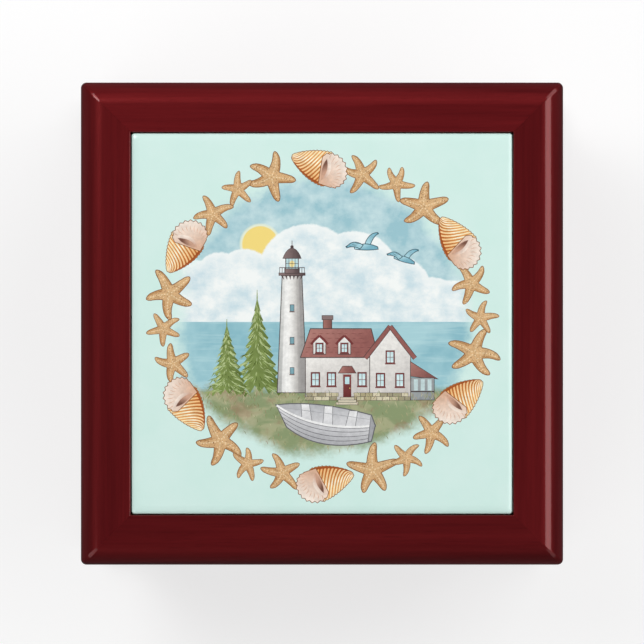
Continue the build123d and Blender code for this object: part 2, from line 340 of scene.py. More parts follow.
def mitred_side(name, profile, corner, side):
    """One side of a mitred frame. The profile is an anticlockwise outline of points, each a distance from the
    middle and a height. corner gives the corner's radius in plan at a distance from the middle."""
    mesh = bmesh.new()
    turn = Matrix.Rotation(radians(SIDES[side]), 4, "Z")
    joint_face = grown(profile, -MITRE_GROOVE)
    columns = []
    for end in (-1, 1):
        rows = []
        for (half, height), (face_half, face_height) in zip(profile, joint_face):
            radius = max(LEAST_CORNER, corner(half))
            first = acos(MITRE_GROOVE / radius) - pi / 4
            turns = [first * (1 - i / CORNER_STEPS) for i in range(CORNER_STEPS + 1)]
            diagonal = face_half - radius + radius * cos(pi / 4)
            row = [Vector((diagonal, end * diagonal, face_height))]
            row += [
                Vector((half - radius + radius * cos(t), end * (half - radius + radius * sin(t)), height))
                for t in turns
            ]
            rows.append(row)
        ends = list(zip(*rows))
        columns += ends if end < 0 else reversed(ends)
    rings = [[mesh.verts.new(turn @ point) for point in column] for column in columns]
    for first, second in zip(rings, rings[1:]):
        for i in range(len(profile)):
            j = (i + 1) % len(profile)
            mesh.faces.new((first[i], first[j], second[j], second[i]))
    mesh.faces.new(rings[0])
    mesh.faces.new(rings[-1])
    bmesh.ops.recalc_face_normals(mesh, faces=mesh.faces)
    return new_piece(name, mesh, lacquer)


def carry_grain(piece, side, seed, strength):
    """Gives a board what its finish follows: the run of its grain, and a painted light level that makes the
    whole board lighter or darker.
    """
    turn = Matrix.Rotation(-radians(SIDES[side]) - pi / 2, 3, "Z")
    shift = Vector((0.37 * seed, 0.053 * seed, 0.021 * seed))
    attribute = piece.data.attributes.new("grain", "FLOAT_VECTOR", "POINT")
    for vertex, value in zip(piece.data.vertices, attribute.data):
        value.vector = turn @ vertex.co + shift
    # Painted light: one brightness factor for the whole board, 1.0 where none is wanted.
    painted_board_light = piece.data.attributes.new("painted_board_light", "FLOAT", "POINT")
    painted_board_light.data.foreach_set("value", [strength] * len(piece.data.vertices))


HALF_PARTING = 0.1 * MM
SEAT_GAP = 0.1 * MM
SEAT_DEPTH = 0.8 * MM
NOTCH_GAP = 0.3 * MM
NOTCH_DEPTH = 1.9 * MM
PIN_GAP = 0.6 * MM
KNUCKLE_RADIUS = 1.6 * MM


def cut_hinge_seats(piece, leaf_name, above):
    """Cuts a back board for both hinges: a shallow housing for each leaf and a notch round each knuckle."""
    mesh = bmesh.new()
    for side in ("left", "right"):
        leaf_low, leaf_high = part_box(leaf_name.format(side))
        pin_low, pin_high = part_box(f"hinge_{side}_pin")
        into = 1 if above else -1
        face = axis_z + HALF_PARTING * into
        seat = (
            Vector((leaf_low.x - SEAT_GAP, leaf_low.y - SEAT_GAP, face - MM * into)),
            Vector((leaf_high.x + SEAT_GAP, axis_y - KNUCKLE_RADIUS, face + SEAT_DEPTH * into)),
        )
        notch = (
            Vector((pin_low.x - PIN_GAP, axis_y - KNUCKLE_RADIUS - NOTCH_GAP, face - MM * into)),
            Vector((pin_high.x + PIN_GAP, cad_high.y + MM, axis_z + NOTCH_DEPTH * into)),
        )
        for low, high in (seat, notch):
            block = bmesh.ops.create_cube(mesh, size=1.0)["verts"]
            bmesh.ops.scale(mesh, verts=block, vec=[abs(c) for c in high - low])
            bmesh.ops.translate(mesh, verts=block, vec=(low + high) / 2)
    cutter = new_piece("hinge_seat_cutter", mesh)
    cut = piece.modifiers.new("hinge_seats", "BOOLEAN")
    cut.operation, cut.solver, cut.object, cut.use_self = "DIFFERENCE", "EXACT", cutter, True
    settle(piece)
    bpy.data.objects.remove(cutter)


def mitred_frame(name, node_name, body, profile, corner, seed, leaf_name=None, painted_light_levels=None):
    """Makes, finishes and hands over the four sides of a frame. The back one may be cut for hinge leaves."""
    for number, side in enumerate(SIDES):
        piece = mitred_side(f"{name}_{side}", profile, corner, side)
        if side == "back" and leaf_name:
            cut_hinge_seats(piece, leaf_name, above=body == "lid")
        even_shading(piece)
        # Painted light: each side's board is made lighter or darker by its level, or left at 1.0.
        carry_grain(piece, side, seed + number, painted_light_levels[side] if painted_light_levels else 1.0)
        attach(piece, body)
        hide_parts(f"{node_name}_{side}")


WALL_CORNER = 1.5 * MM
WALL_EDGE = 0.5 * MM


def wall_profile():
    """A wall's section: a plain board with softened upper edges."""
    low, high = wall_low.z, wall_high.z
    edge = WALL_EDGE
    return (
        [(inside_half, low), (wall_half, low)]
        + arc((wall_half - edge, high - edge), edge, 0, 90, 4)
        + arc((inside_half + edge, high - edge), edge, 90, 180, 4)
    )


def wall_corner(half):
    """The corner is round outside and crisp inside."""
    return WALL_CORNER * (half - inside_half) / (wall_half - inside_half)


mitred_frame("wall_board", "wall", "box", wall_profile(), wall_corner, 0, leaf_name="hinge_{}_box_leaf")


# ---- base moulding and floor board ---------------------------------------------------------------
# A mitred moulding with a rounded top edge carries the walls, and holds the floor board in its rebate. The
# moulding is finished like the walls. The board is bare fibreboard, hidden by the lining and the felt.
base_low, base_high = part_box("base_rail_right")
base_half = base_high.x
floor_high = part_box("floor_panel")[1]
BASE_ROUND_OVER = 3.7 * MM
BASE_CORNER = 1.6 * MM
BASE_ARRIS = 0.8 * MM
REBATE_GAP = 0.1 * MM


def base_profile():
    """The moulding's section, with its round-over, lower arris and rebate."""
    low, high = base_low.z, base_high.z
    rebate = floor_high.x + REBATE_GAP
    return (
        [(inside_half, high), (inside_half, floor_high.z), (rebate, floor_high.z), (rebate, low)]
        + arc((base_half - BASE_ARRIS, low + BASE_ARRIS), BASE_ARRIS, -90, 0, 4)
        + arc((base_half - BASE_ROUND_OVER, high - BASE_ROUND_OVER), BASE_ROUND_OVER, 0, 90, 14)
    )


def base_corner(half):
    """The moulding's corner is round at its widest and crisp where it meets the walls."""
    return BASE_CORNER * (half - wall_half) / (base_half - wall_half)


mitred_frame("base_moulding", "base_rail", "box", base_profile(), base_corner, 5)


def bare_board():
    """Fibreboard: pressed brown fibres, the same all over."""
    made, tree, shader = material("bare_board", Roughness=0.85, Specular_IOR_Level=0.2)
    place = own_place(tree)
    fibres = stretched_noise(tree, place, 900, detail=5, roughness=0.7)
    specks = spread(tree, stretched_noise(tree, place, 3200, detail=1), 0.6, 0.7)
    tone = mixed(tree, fibres, "A98560", "D3B48B")
    colour = mixed(tree, maths(tree, "MULTIPLY", specks, 0.5), tone, "6B4A30")
    finish(tree, shader, colour, fibres, 0.5, 0.05 * MM)
    return made


def dress(node_name, look):
    """Gives a CAD node its material."""
    carried = frame["nodes"][node_name]
    carried.data.materials.clear()
    carried.data.materials.append(look)
    return carried


board = bare_board()
dress("floor_panel", board)
dress("lid_panel", board)


# ---- felt under the base -------------------------------------------------------------------------
# One square of black wool felt, glued under the moulding and the floor board, with cut edges gone soft.
felt_low, felt_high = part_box("base_felt")
FELT_CORNER = 2.0 * MM
FELT_EDGE = 0.35 * MM


def nap_group():
    """The matted surface of felt or the pile of velvet: fine fibres over slow patches where the nap lies."""
    tree, given, put_out = group(
        "nap",
        {"Vector": "Vector", "Color": "Color", "Brushed": "Color", "Fibres": "Float"},
        {"Color": "Color", "Height": "Float"},
    )
    fibres = stretched_noise(tree, scaled(tree, given["Vector"], given["Fibres"]), 1, roughness=0.7)
    lay = stretched_noise(tree, given["Vector"], (38, 30, 34), distortion=1.2)
    patches = spread(tree, lay, 0.42, 0.62, smooth=True)
    worn = mixed(tree, maths(tree, "MULTIPLY", patches, 0.7), given["Color"], given["Brushed"])
    feed(tree, put_out["Color"], scaled(tree, worn, spread(tree, fibres, 0.25, 0.75, 0.55, 1.35)))
    feed(tree, put_out["Height"], fibres)
    return tree


nap = nap_group()


def cloth(name, colour, brushed, fibres, relief, **shader_values):
    """A napped cloth: fibres is their number per metre and relief the depth of the surface."""
    made, tree, shader = material(name, Roughness=0.95, Specular_IOR_Level=0.08, **shader_values)
    look = {"Vector": own_place(tree), "Color": colour, "Brushed": brushed, "Fibres": fibres}
    surface = node(tree, "Group", look, node_tree=nap).outputs
    finish(tree, shader, surface["Color"], surface["Height"], 0.8, relief)
    return made


felt_sheen = {"Sheen_Weight": 0.25, "Sheen_Roughness": 0.6}
felt_cloth = cloth("black_felt", "141416", "232326", 2200.0, 0.12 * MM, **felt_sheen)


def rounded_square(half, radius, steps=6):
    """A square outline with rounded corners, anticlockwise from the middle of the right side's lower end."""
    points = []
    for quarter in range(4):
        turn = quarter * 90
        middle = Matrix.Rotation(radians(turn), 2) @ Vector((half - radius, half - radius))
        points += arc(middle, radius, turn, turn + 90, steps)
    return points


def plate(name, levels, *materials):
    """A flat plate of rounded squares, each (half, corner radius, height), from its underside up."""
    mesh = bmesh.new()
    rings = [
        [mesh.verts.new((x, y, height)) for x, y in rounded_square(half, radius)]
        for half, radius, height in levels
    ]
    for lower, upper in zip(rings, rings[1:]):
        for i in range(len(lower)):
            j = (i + 1) % len(lower)
            mesh.faces.new((lower[i], lower[j], upper[j], upper[i]))
    mesh.faces.new(list(reversed(rings[0])))
    mesh.faces.new(rings[-1])
    return new_piece(name, mesh, *materials)


felt_levels = [
    (felt_high.x - FELT_EDGE, FELT_CORNER - FELT_EDGE, felt_low.z),
    (felt_high.x - 0.3 * FELT_EDGE, FELT_CORNER, felt_low.z + 0.3 * FELT_EDGE),
    (felt_high.x, FELT_CORNER, felt_low.z + FELT_EDGE),
    (felt_high.x, FELT_CORNER, felt_high.z),
]
felt = plate("felt_underside", felt_levels, felt_cloth)
even_shading(felt)
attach(felt, "box")
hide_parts("base_felt")


# ---- velvet linings ------------------------------------------------------------------------------
# Black velvet is glued over thin foam for the pads on the floor and inside the lid, and over card for the
# four walls. It rolls over the edges. Cloth under air pressure gives the two foam pads their low crown.
velvet_sheen = {"Sheen_Weight": 0.55, "Sheen_Roughness": 0.35}
velvet = cloth("black_velvet", "0E0E11", "1C1C21", 5200.0, 0.08 * MM, **velvet_sheen)
PAD_CELLS = 36
SKIRT_SHARE = 0.35
DIMPLE_SHARE = 0.05
DIMPLES_PER_METRE = 60


def covered_pad(name, width, length, thickness, roll, seed):
    """A closed, cloth-covered pad, lying flat with its covered face up and a few soft dimples."""
    mesh = bmesh.new()
    spacing = [sin(pi / 2 * (2 * i / PAD_CELLS - 1)) for i in range(PAD_CELLS + 1)]
    top = []
    for v in spacing:
        row = []
        for u in spacing:
            x, y = u * width / 2, v * length / 2
            edge = min(width / 2 - abs(x), length / 2 - abs(y), roll) / roll
            lumps = noise.noise(Vector((x * DIMPLES_PER_METRE, y * DIMPLES_PER_METRE, seed)))
            dimple = DIMPLE_SHARE * thickness * lumps * (1 - u**2) * (1 - v**2)
            rolled = SKIRT_SHARE + (1 - SKIRT_SHARE) * sqrt(1 - (1 - edge) ** 2)
            row.append(mesh.verts.new((x, y, thickness * rolled + dimple)))
        top.append(row)
    for lower, upper in zip(top, top[1:]):
        for i in range(PAD_CELLS):
            mesh.faces.new((lower[i], lower[i + 1], upper[i + 1], upper[i]))
    skirt = bmesh.ops.extrude_edge_only(mesh, edges=[e for e in mesh.edges if e.is_boundary])["geom"]
    for vertex in (g for g in skirt if isinstance(g, bmesh.types.BMVert)):
        vertex.co.z = 0
    bmesh.ops.contextual_create(mesh, geom=[e for e in mesh.edges if e.is_boundary])
    bmesh.ops.recalc_face_normals(mesh, faces=mesh.faces)
    return new_piece(name, mesh, velvet)


AIR_SCALE = 10
AIR_TICKS = 20


def swell(pad, most):
    """Blows a pad up with simulated cloth, glued along its rolled edge, by no more than a limit. The cloth is
    simulated ten times larger than life, where the solver is steady."""
    resting = [v.co.copy() for v in pad.data.vertices]
    glued = [v.index for v in pad.data.vertices if v.co.z < max(p.z for p in resting) * 0.8]
    pad.data.transform(Matrix.Scale(AIR_SCALE, 4))
    pad.vertex_groups.new(name="glued").add(glued, 1.0, "REPLACE")
    air = pad.modifiers.new("air", "CLOTH")
    air.settings.vertex_group_mass = "glued"
    air.settings.quality = 8
    air.settings.bending_stiffness = 2.0
    air.settings.use_pressure = True
    air.settings.uniform_pressure_force = 4.0
    air.settings.effector_weights.gravity = 0.0
    air.point_cache.frame_end = AIR_TICKS
    for tick in range(1, AIR_TICKS + 1):
        bpy.context.scene.frame_set(tick)
    settle(pad)
    bpy.context.scene.frame_set(1)
    moves = [v.co / AIR_SCALE - p for v, p in zip(pad.data.vertices, resting)]
    share = min(1.0, most / max(move.z for move in moves))
    for vertex, p, move in zip(pad.data.vertices, resting, moves):
        vertex.co = p + move * share


PAD_ROLL = 1.0 * MM
PAD_CROWN = 0.7 * MM
UPSIDE_DOWN = Matrix.Rotation(pi, 4, "X")
for pad_node, pad_body, seed in (("floor_lining", "box", 1), ("lid_lining", "lid", 2)):
    pad_low, pad_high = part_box(pad_node)
    size = pad_high - pad_low
    pad_name = pad_node.replace("lining", "velvet_pad")
    pad = covered_pad(pad_name, size.x, size.y, size.z - PAD_CROWN, PAD_ROLL, seed)
    swell(pad, PAD_CROWN)
    facing_down = pad_body == "lid"
    back = pad_high.z if facing_down else pad_low.z
    pad.data.transform(Matrix.Translation((0, 0, back)) @ (UPSIDE_DOWN if facing_down else Matrix()))
    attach(pad, pad_body)
    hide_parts(pad_node)

# Each card's lower edge is tucked into the soft rolled edge of the pad on the floor.
CARD_ROLL = 0.6 * MM
CARD_TUCK = 0.8 * MM
FACING_IN = Matrix(((0, 0, -1), (-1, 0, 0), (0, 1, 0))).to_4x4()
for number, card_side in enumerate(SIDES):
    card_low, card_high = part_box(f"wall_lining_{card_side}")
    size = card_high - card_low
    width, thickness, height = max(size.x, size.y), min(size.x, size.y), size.z + CARD_TUCK
    against_wall = Matrix.Translation((inside_half - SEAT_GAP, 0, card_high.z - height / 2))
    card = covered_pad(f"wall_velvet_card_{card_side}", width, height, thickness, CARD_ROLL, seed=10 + number)
    card.data.transform(Matrix.Rotation(radians(SIDES[card_side]), 4, "Z") @ against_wall @ FACING_IN)
    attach(card, "box")
    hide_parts(f"wall_lining_{card_side}")


# ---- hinges and screws ---------------------------------------------------------------------------
# Two small brass butt hinges let the lid swing back. Each leaf is pressed from brass sheet with its knuckles
# rolled round a headed pin, and held by two slotted countersunk screws.
def polished_brass():
    """Brass plate with fine handling scratches and a little dull tarnish."""
    made, tree, shader = material("polished_brass", Metallic=1.0, Roughness=0.25)
    place = own_place(tree)
    tarnish = spread(tree, stretched_noise(tree, place, 260, detail=4), 0.45, 0.75, smooth=True)
    scratches = stretched_noise(tree, place, (600, 9000, 9000), detail=2)
    finish(tree, shader, mixed(tree, tarnish, "E2BF78", "C49C58"), scratches, 0.15, 0.02 * MM)
    dullness = plus(tree, spread(tree, tarnish, 0, 1, 0.16, 0.3), scratches, 0.12)
    feed(tree, shader.inputs["Roughness"], dullness)
    return made


brass = polished_brass()
for hinge_side in ("left", "right"):
    for part in ("box_leaf", "lid_leaf", "pin"):
        hinge_part = dress(f"hinge_{hinge_side}_{part}", brass)
        hinge_part.modifiers.new("join_corners", "WELD").merge_threshold = 0.002 * MM
        softened = hinge_part.modifiers.new("softened_edges", "BEVEL")
        softened.width, softened.segments, softened.angle_limit = 0.08 * MM, 2, radians(40)
        softened.use_clamp_overlap = True


class TreeMaker:
    """Adds geometry nodes to a tree that is a modifier with named inputs."""

    def __init__(self, name, inputs):
        self.tree = bpy.data.node_groups.new(name, "GeometryNodeTree")
        face = self.tree.interface
        face.new_socket("Geometry", in_out="OUTPUT", socket_type="NodeSocketGeometry")
        self.sockets = {}
        for input_name, (kind, value) in inputs.items():
            socket = face.new_socket(input_name, in_out="INPUT", socket_type="NodeSocket" + kind)
            socket.default_value = value
            self.sockets[input_name] = socket.identifier
        self.given = self.tree.nodes.new("NodeGroupInput").outputs
        self.out = self.tree.nodes.new("NodeGroupOutput").inputs

    def add(self, kind, inputs, output=0, **settings):
        """Adds a node and gives one of its outputs. A list feeds several outputs to one socket."""
        made = self.tree.nodes.new(kind)
        for key, value in settings.items():
            setattr(made, key, value)
        for key, value in inputs.items():
            for single in value if isinstance(value, list) else [value]:
                feed(self.tree, made.inputs[key], single)
        return made.outputs[output]

    def build(self, name, values):
        """Runs the tree on an empty object and keeps the result as a plain mesh."""
        piece = bpy.data.objects.new(name, bpy.data.meshes.new(name))
        bpy.context.scene.collection.objects.link(piece)
        modifier = piece.modifiers.new(name, "NODES")
        modifier.node_group = self.tree
        for input_name, value in values.items():
            modifier[self.sockets[input_name]] = value
        settle(piece)
        piece.data.set_sharp_from_angle(angle=SHARP_ANGLE)
        return piece


def screw_maker():
    """Slotted countersunk screws with a rolled thread, two to a hinge, their slots left at any angle."""
    lengths = {
        "Head Radius": 1.5,
        "Shank Radius": 0.62,
        "Head Depth": 0.8,
        "Length": 6.0,
        "Point Length": 1.6,
        "Overlap": 0.1,
        "Slot Width": 0.5,
        "Slot Depth": 0.5,
        "Thread Radius": 0.16,
        "Screw Spacing": 13.0,
        "Hinge Spacing": 76.0,
    }
    inputs = {input_name: ("Float", value * MM) for input_name, value in lengths.items()}
    inputs["Thread Turns"] = ("Float", 6.0)
    inputs["Place"] = ("Vector", (0, 0, 0))
    inputs["Turned Over"] = ("Float", 0.0)
    inputs["Seed"] = ("Int", 0)
    inputs["Metal"] = ("Material", None)
    maker = TreeMaker("slotted_screws", inputs)
    add, given = maker.add, maker.given

    def reckon(first, operation, second):
        return add("ShaderNodeMath", {0: first, 1: second}, operation=operation)

    def along(axis, value):
        return add("ShaderNodeCombineXYZ", {axis: value})

    def sunk(shape, depth):
        down = along("Z", reckon(depth, "MULTIPLY", -1.0))
        return add("GeometryNodeTransform", {"Geometry": shape, "Translation": down})

    def cone(top, bottom, depth, foot):
        inputs = {"Vertices": 40, "Radius Top": top, "Radius Bottom": bottom, "Depth": depth}
        return sunk(add("GeometryNodeMeshCone", inputs), foot)

    def pair(spacing):
        start = along("X", reckon(spacing, "MULTIPLY", -0.5))
        inputs = {"Count": 2, "Start Location": start, "Offset": along("X", spacing)}
        return add("GeometryNodeMeshLine", inputs)

    shank_radius, overlap = given["Shank Radius"], given["Overlap"]
    straight = reckon(given["Length"], "SUBTRACT", given["Point Length"])
    body = reckon(straight, "SUBTRACT", given["Head Depth"])
    head = cone(given["Head Radius"], shank_radius, given["Head Depth"], given["Head Depth"])
    shank = cone(shank_radius, shank_radius, reckon(body, "ADD", overlap), straight)
    point_radius = reckon(shank_radius, "MULTIPLY", 0.98)
    point = cone(point_radius, 0.0, reckon(given["Point Length"], "ADD", overlap), given["Length"])
    slot_size = {
        "X": reckon(given["Head Radius"], "MULTIPLY", 3.0),
        "Y": given["Slot Width"],
        "Z": reckon(given["Slot Depth"], "MULTIPLY", 2.0),
    }
    slot_block = add("GeometryNodeMeshCube", {"Size": add("ShaderNodeCombineXYZ", slot_size)})
    slotted = add("GeometryNodeMeshBoolean", {"Mesh 1": head, "Mesh 2": slot_block}, operation="DIFFERENCE")
    spiral = {
        "Resolution": 14,
        "Rotations": given["Thread Turns"],
        "Start Radius": shank_radius,
        "End Radius": shank_radius,
        "Height": body,
    }
    ridge = add("GeometryNodeCurvePrimitiveCircle", {"Resolution": 5, "Radius": given["Thread Radius"]})
    sweep = {"Curve": add("GeometryNodeCurveSpiral", spiral), "Profile Curve": ridge, "Fill Caps": True}
    thread = sunk(add("GeometryNodeCurveToMesh", sweep), straight)
    screw = add("GeometryNodeJoinGeometry", {"Geometry": [slotted, shank, point, thread]})

    rows = {"Points": pair(given["Hinge Spacing"]), "Instance": pair(given["Screw Spacing"])}
    places = add("GeometryNodeRealizeInstances", {"Geometry": add("GeometryNodeInstanceOnPoints", rows)})
    any_turn = {2: 0.0, 3: pi, "Seed": given["Seed"]}
    angle = add("FunctionNodeRandomValue", any_turn, output=1, data_type="FLOAT")
    driven = {"Points": places, "Instance": screw, "Rotation": along("Z", angle)}
    screws = {
        "Geometry": add("GeometryNodeInstanceOnPoints", driven),
        "Translation": given["Place"],
        "Rotation": along("X", given["Turned Over"]),
    }
    real = add("GeometryNodeRealizeInstances", {"Geometry": add("GeometryNodeTransform", screws)})
    metal = add("GeometryNodeSetMaterial", {"Geometry": real, "Material": given["Metal"]})
    feed(maker.tree, maker.out[0], metal)
    return maker


screw_tree = screw_maker()
for body, head_up in (("box", True), ("lid", False)):
    screw_low, screw_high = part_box(f"hinge_screws_{body}")
    head_z = screw_high.z if head_up else screw_low.z
    screws = screw_tree.build(
        f"slotted_screws_{body}",
        {
            "Place": (0, (screw_low.y + screw_high.y) / 2, head_z),
            "Turned Over": 0.0 if head_up else pi,
            "Seed": 3 if head_up else 8,
            "Metal": brass,
        },
    )
    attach(screws, body)
    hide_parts(f"hinge_screws_{body}")


# ---- lid rails -----------------------------------------------------------------------------------
# Four wide rails, mitred and glued into a picture frame, hold the panel in a groove. The outer top edge has a
# big round-over, and the tile opening a small softened one. They are stained and lacquered like the box.
rail_low, rail_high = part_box("lid_rail_right")
lid_half = rail_high.x
tile_low, tile_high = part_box("ceramic_tile")
panel_low, panel_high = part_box("lid_panel")
ROUND_OVER = 7.0 * MM
OPENING_GAP = 0.3 * MM
OPENING_EDGE = 0.4 * MM
LID_ARRIS = 0.8 * MM
# Painted light and shade: the back rail is painted lighter and the front rail darker, as the light falls more
# from behind.
RAIL_PAINTED_LIGHT = {"right": 1.0, "back": 1.25, "left": 1.0, "front": 0.88}
LID_CORNER = 1.6 * MM
GROOVE_GAP = 0.1 * MM
crown_half = lid_half - ROUND_OVER
opening_half = tile_high.x + OPENING_GAP


def lid_profile():
    """The rail's section: tile opening, panel groove, underside, arris and round-over."""
    low, high = rail_low.z, rail_high.z
    groove = panel_high.x + GROOVE_GAP
    return (
        arc((opening_half + OPENING_EDGE, high - OPENING_EDGE), OPENING_EDGE, 90, 180, 4)
        + [(opening_half, panel_high.z), (groove, panel_high.z), (groove, panel_low.z)]
        + [(inside_half, panel_low.z), (inside_half, low)]
        + arc((lid_half - LID_ARRIS, low + LID_ARRIS), LID_ARRIS, -90, 0, 4)
        + arc((crown_half, high - ROUND_OVER), ROUND_OVER, 0, 90, 24)
    )


def lid_corner(half):
    """The corner is round at its widest and runs into a crisp mitre on the flat top."""
    return LID_CORNER * (half - crown_half) / ROUND_OVER


mitred_frame(
    "lid_moulding",
    "lid_rail",
    "lid",
    lid_profile(),
    lid_corner,
    11,
    leaf_name="hinge_{}_lid_leaf",
    painted_light_levels=RAIL_PAINTED_LIGHT,
)


# ---- adhesive foam under the tile ----------------------------------------------------------------
# Four squares of white double-sided foam tape hold the tile on the panel.
def foam_tape():
    """Closed-cell foam: small round cells in soft white plastic."""
    made, tree, shader = material("foam_tape", Roughness=0.7, Specular_IOR_Level=0.3)
    cells = node(tree, "TexVoronoi", {"Vector": own_place(tree), "Scale": 2600.0}).outputs["Distance"]
    colour = mixed(tree, spread(tree, cells, 0.1, 0.6), "C9C9C2", "F1F1EC")
    finish(tree, shader, colour, cells, 0.6, 0.1 * MM)
    return made


dress("tile_adhesive_pads", foam_tape())


# ---- tile: the printed picture -------------------------------------------------------------------
# The picture is fused into the glaze, so it is part of the tile's own smooth face: a wreath of starfish and
# striped shells round a lighthouse by the sea. Shapes are given in millimetres from the tile's middle.
INK = "4B4140"


class Picture:
    """Flat shapes on the tile's face, each laid over the ones before it."""

    def __init__(self):
        self.outlines = []
        self.inks = []
        self.at(0, 0)

    def at(self, x, y, turn=0.0, size=1.0, flip=False):
        """Later shapes are drawn about this point, turned by these degrees and scaled."""
        self.origin = Vector((x, y))
        mirror = Matrix(((-1 if flip else 1, 0), (0, 1)))
        self.frame = Matrix.Rotation(radians(turn), 2) @ mirror * size

    def put(self, point):
        """Where a point of the shape in hand comes on the tile."""
        return self.origin + self.frame @ Vector(point)

    def lay(self, outline, ink, ink_end=None, along=None, grit=0.0):
        """Lays one shape. Its ink may run into a second one between two points."""
        points = [self.put(p) for p in outline]
        area = sum(a.cross(b) for a, b in zip(points, points[1:] + points[:1]))
        if area < 0:
            points.reverse()
        self.outlines.append(points)
        run = [self.put(p) for p in along] if along else None
        self.inks.append((hex_colour(ink), hex_colour(ink_end or ink), run, grit))

    def edged(self, outline, width, ink, ink_end=None, along=None, grit=0.0, edge=INK):
        """Lays a shape with a drawn edge round it."""
        turn = sum(Vector(a).cross(Vector(b)) for a, b in zip(outline, outline[1:] + outline[:1]))
        anticlockwise = list(outline) if turn > 0 else list(reversed(outline))
        self.lay(grown(anticlockwise, width), edge)
        self.lay(outline, ink, ink_end, along, grit)

    def line(self, points, width, ink=INK, taper=0.5):
        """A brush line through some points, thinner towards its ends."""
        path = [Vector(p) for p in points]
        last = len(path) - 1
        left, right = [], []
        for i, here in enumerate(path):
            way = (path[min(i + 1, last)] - path[max(i - 1, 0)]).normalized()
            half = width / 2 * (1 - taper * abs(2 * i / last - 1) ** 2)
            left.append(here + Vector((-way.y, way.x)) * half)
            right.append(here - Vector((-way.y, way.x)) * half)
        self.lay(left + right[::-1], ink)

    def ink_at(self, number, point):
        """The colour of a shape at a point, with its grit as the fourth number."""
        ink, ink_end, run, grit = self.inks[number]
        if run is None:
            return (*ink[:3], grit)
        way = run[1] - run[0]
        share = min(1.0, max(0.0, (point - run[0]).dot(way) / way.length_squared))
        return (*(a + (b - a) * share for a, b in zip(ink[:3], ink_end[:3])), grit)


picture = Picture()
at, lay, edged, line = picture.at, picture.lay, picture.edged, picture.line


def oval(x, y, across, up, turn=0.0, count=20):
    """An ellipse's outline."""
    rotate = Matrix.Rotation(radians(turn), 2)
    steps = [2 * pi * i / count for i in range(count)]
    return [Vector((x, y)) + rotate @ Vector((across * cos(t), up * sin(t))) for t in steps]


def bow(start, middle, end, steps=8):
    """Points of a smooth curve from start to end that leans towards middle."""
    a, b, c = Vector(start), Vector(middle), Vector(end)
    shares = [i / steps for i in range(steps + 1)]
    return [a * (1 - t) ** 2 + b * 2 * t * (1 - t) + c * t**2 for t in shares]


def block(left, bottom, right, top):
    """A rectangle's outline."""
    return [(left, bottom), (right, bottom), (right, top), (left, top)]


# The pines: soft tiers of drooping branches from the lowest up, with long light needles brushed over them.
PINE_DARK, PINE_MID, PINE_LIGHT = "66783F", "879B58", "BBCB92"
NEEDLE_INKS = (PINE_LIGHT, "9DB06D", "56672F", PINE_LIGHT)
PINE_TIERS = 10
TIER_TEETH = 11
TIER_NEEDLES = 26


def pine(x, foot, height, spread_out, draw):
    """A pointed tree of overlapping tiers."""
    at(x, foot)
    for tier in range(PINE_TIERS):
        share = tier / PINE_TIERS
        low = height * (0.03 + 0.88 * share)
        half = spread_out * (1 - share) ** 0.9
        top = low + height * 0.2 * (1 - 0.45 * share)
        hem = []
        for i in range(TIER_TEETH + 1):
            side = 2 * i / TIER_TEETH - 1
            drop = (0.16 if i % 2 else -0.1) * half + draw.uniform(-0.15, 0.15)
            hem.append((side * half, low + drop - 0.2 * half * abs(side)))
        lay(hem + [(0.12, top), (-0.12, top)], PINE_MID, PINE_DARK, [(-0.6 * half, top), (half, low)])
        for _ in range(TIER_NEEDLES):
            side = draw.uniform(-1, 1)
            start = Vector((side * half * 0.5, low + (top - low) * draw.uniform(0.1, 0.8) * (1 - abs(side))))
            end = start + Vector((side * half * 0.62, -height * draw.uniform(0.025, 0.07)))
            middle = start.lerp(end, 0.5) + Vector((0, 0.12 * half * abs(side)))
            line(bow(start, middle, end, 3), 0.2, draw.choice(NEEDLE_INKS), taper=0.95)
    line([(0, height * 0.88), (0, height * 0.96), (0, height * 1.04)], 0.3, PINE_MID, taper=0.6)


pine_hand = random.Random(41)
pine(-18.4, -19.5, 28.0, 7.4, pine_hand)
pine(-27.0, -20.0, 20.5, 6.2, pine_hand)

# The lighthouse: a tapered white tower, shaded round, with a dark gallery and a glazed lantern on top.
TOWER_FOOT, TOWER_HEAD = 4.1, 2.7
TOWER_SHADES = ("B9BAB8", "E9E9E6", "F7F7F4", "F1F0EC", "DEDCD8", "C2BFBB", "A19E9C")
TOWER_WINDOWS = (0.16, 0.42, 0.7)
IRON, IRON_LIGHT = "57494A", "8A7674"


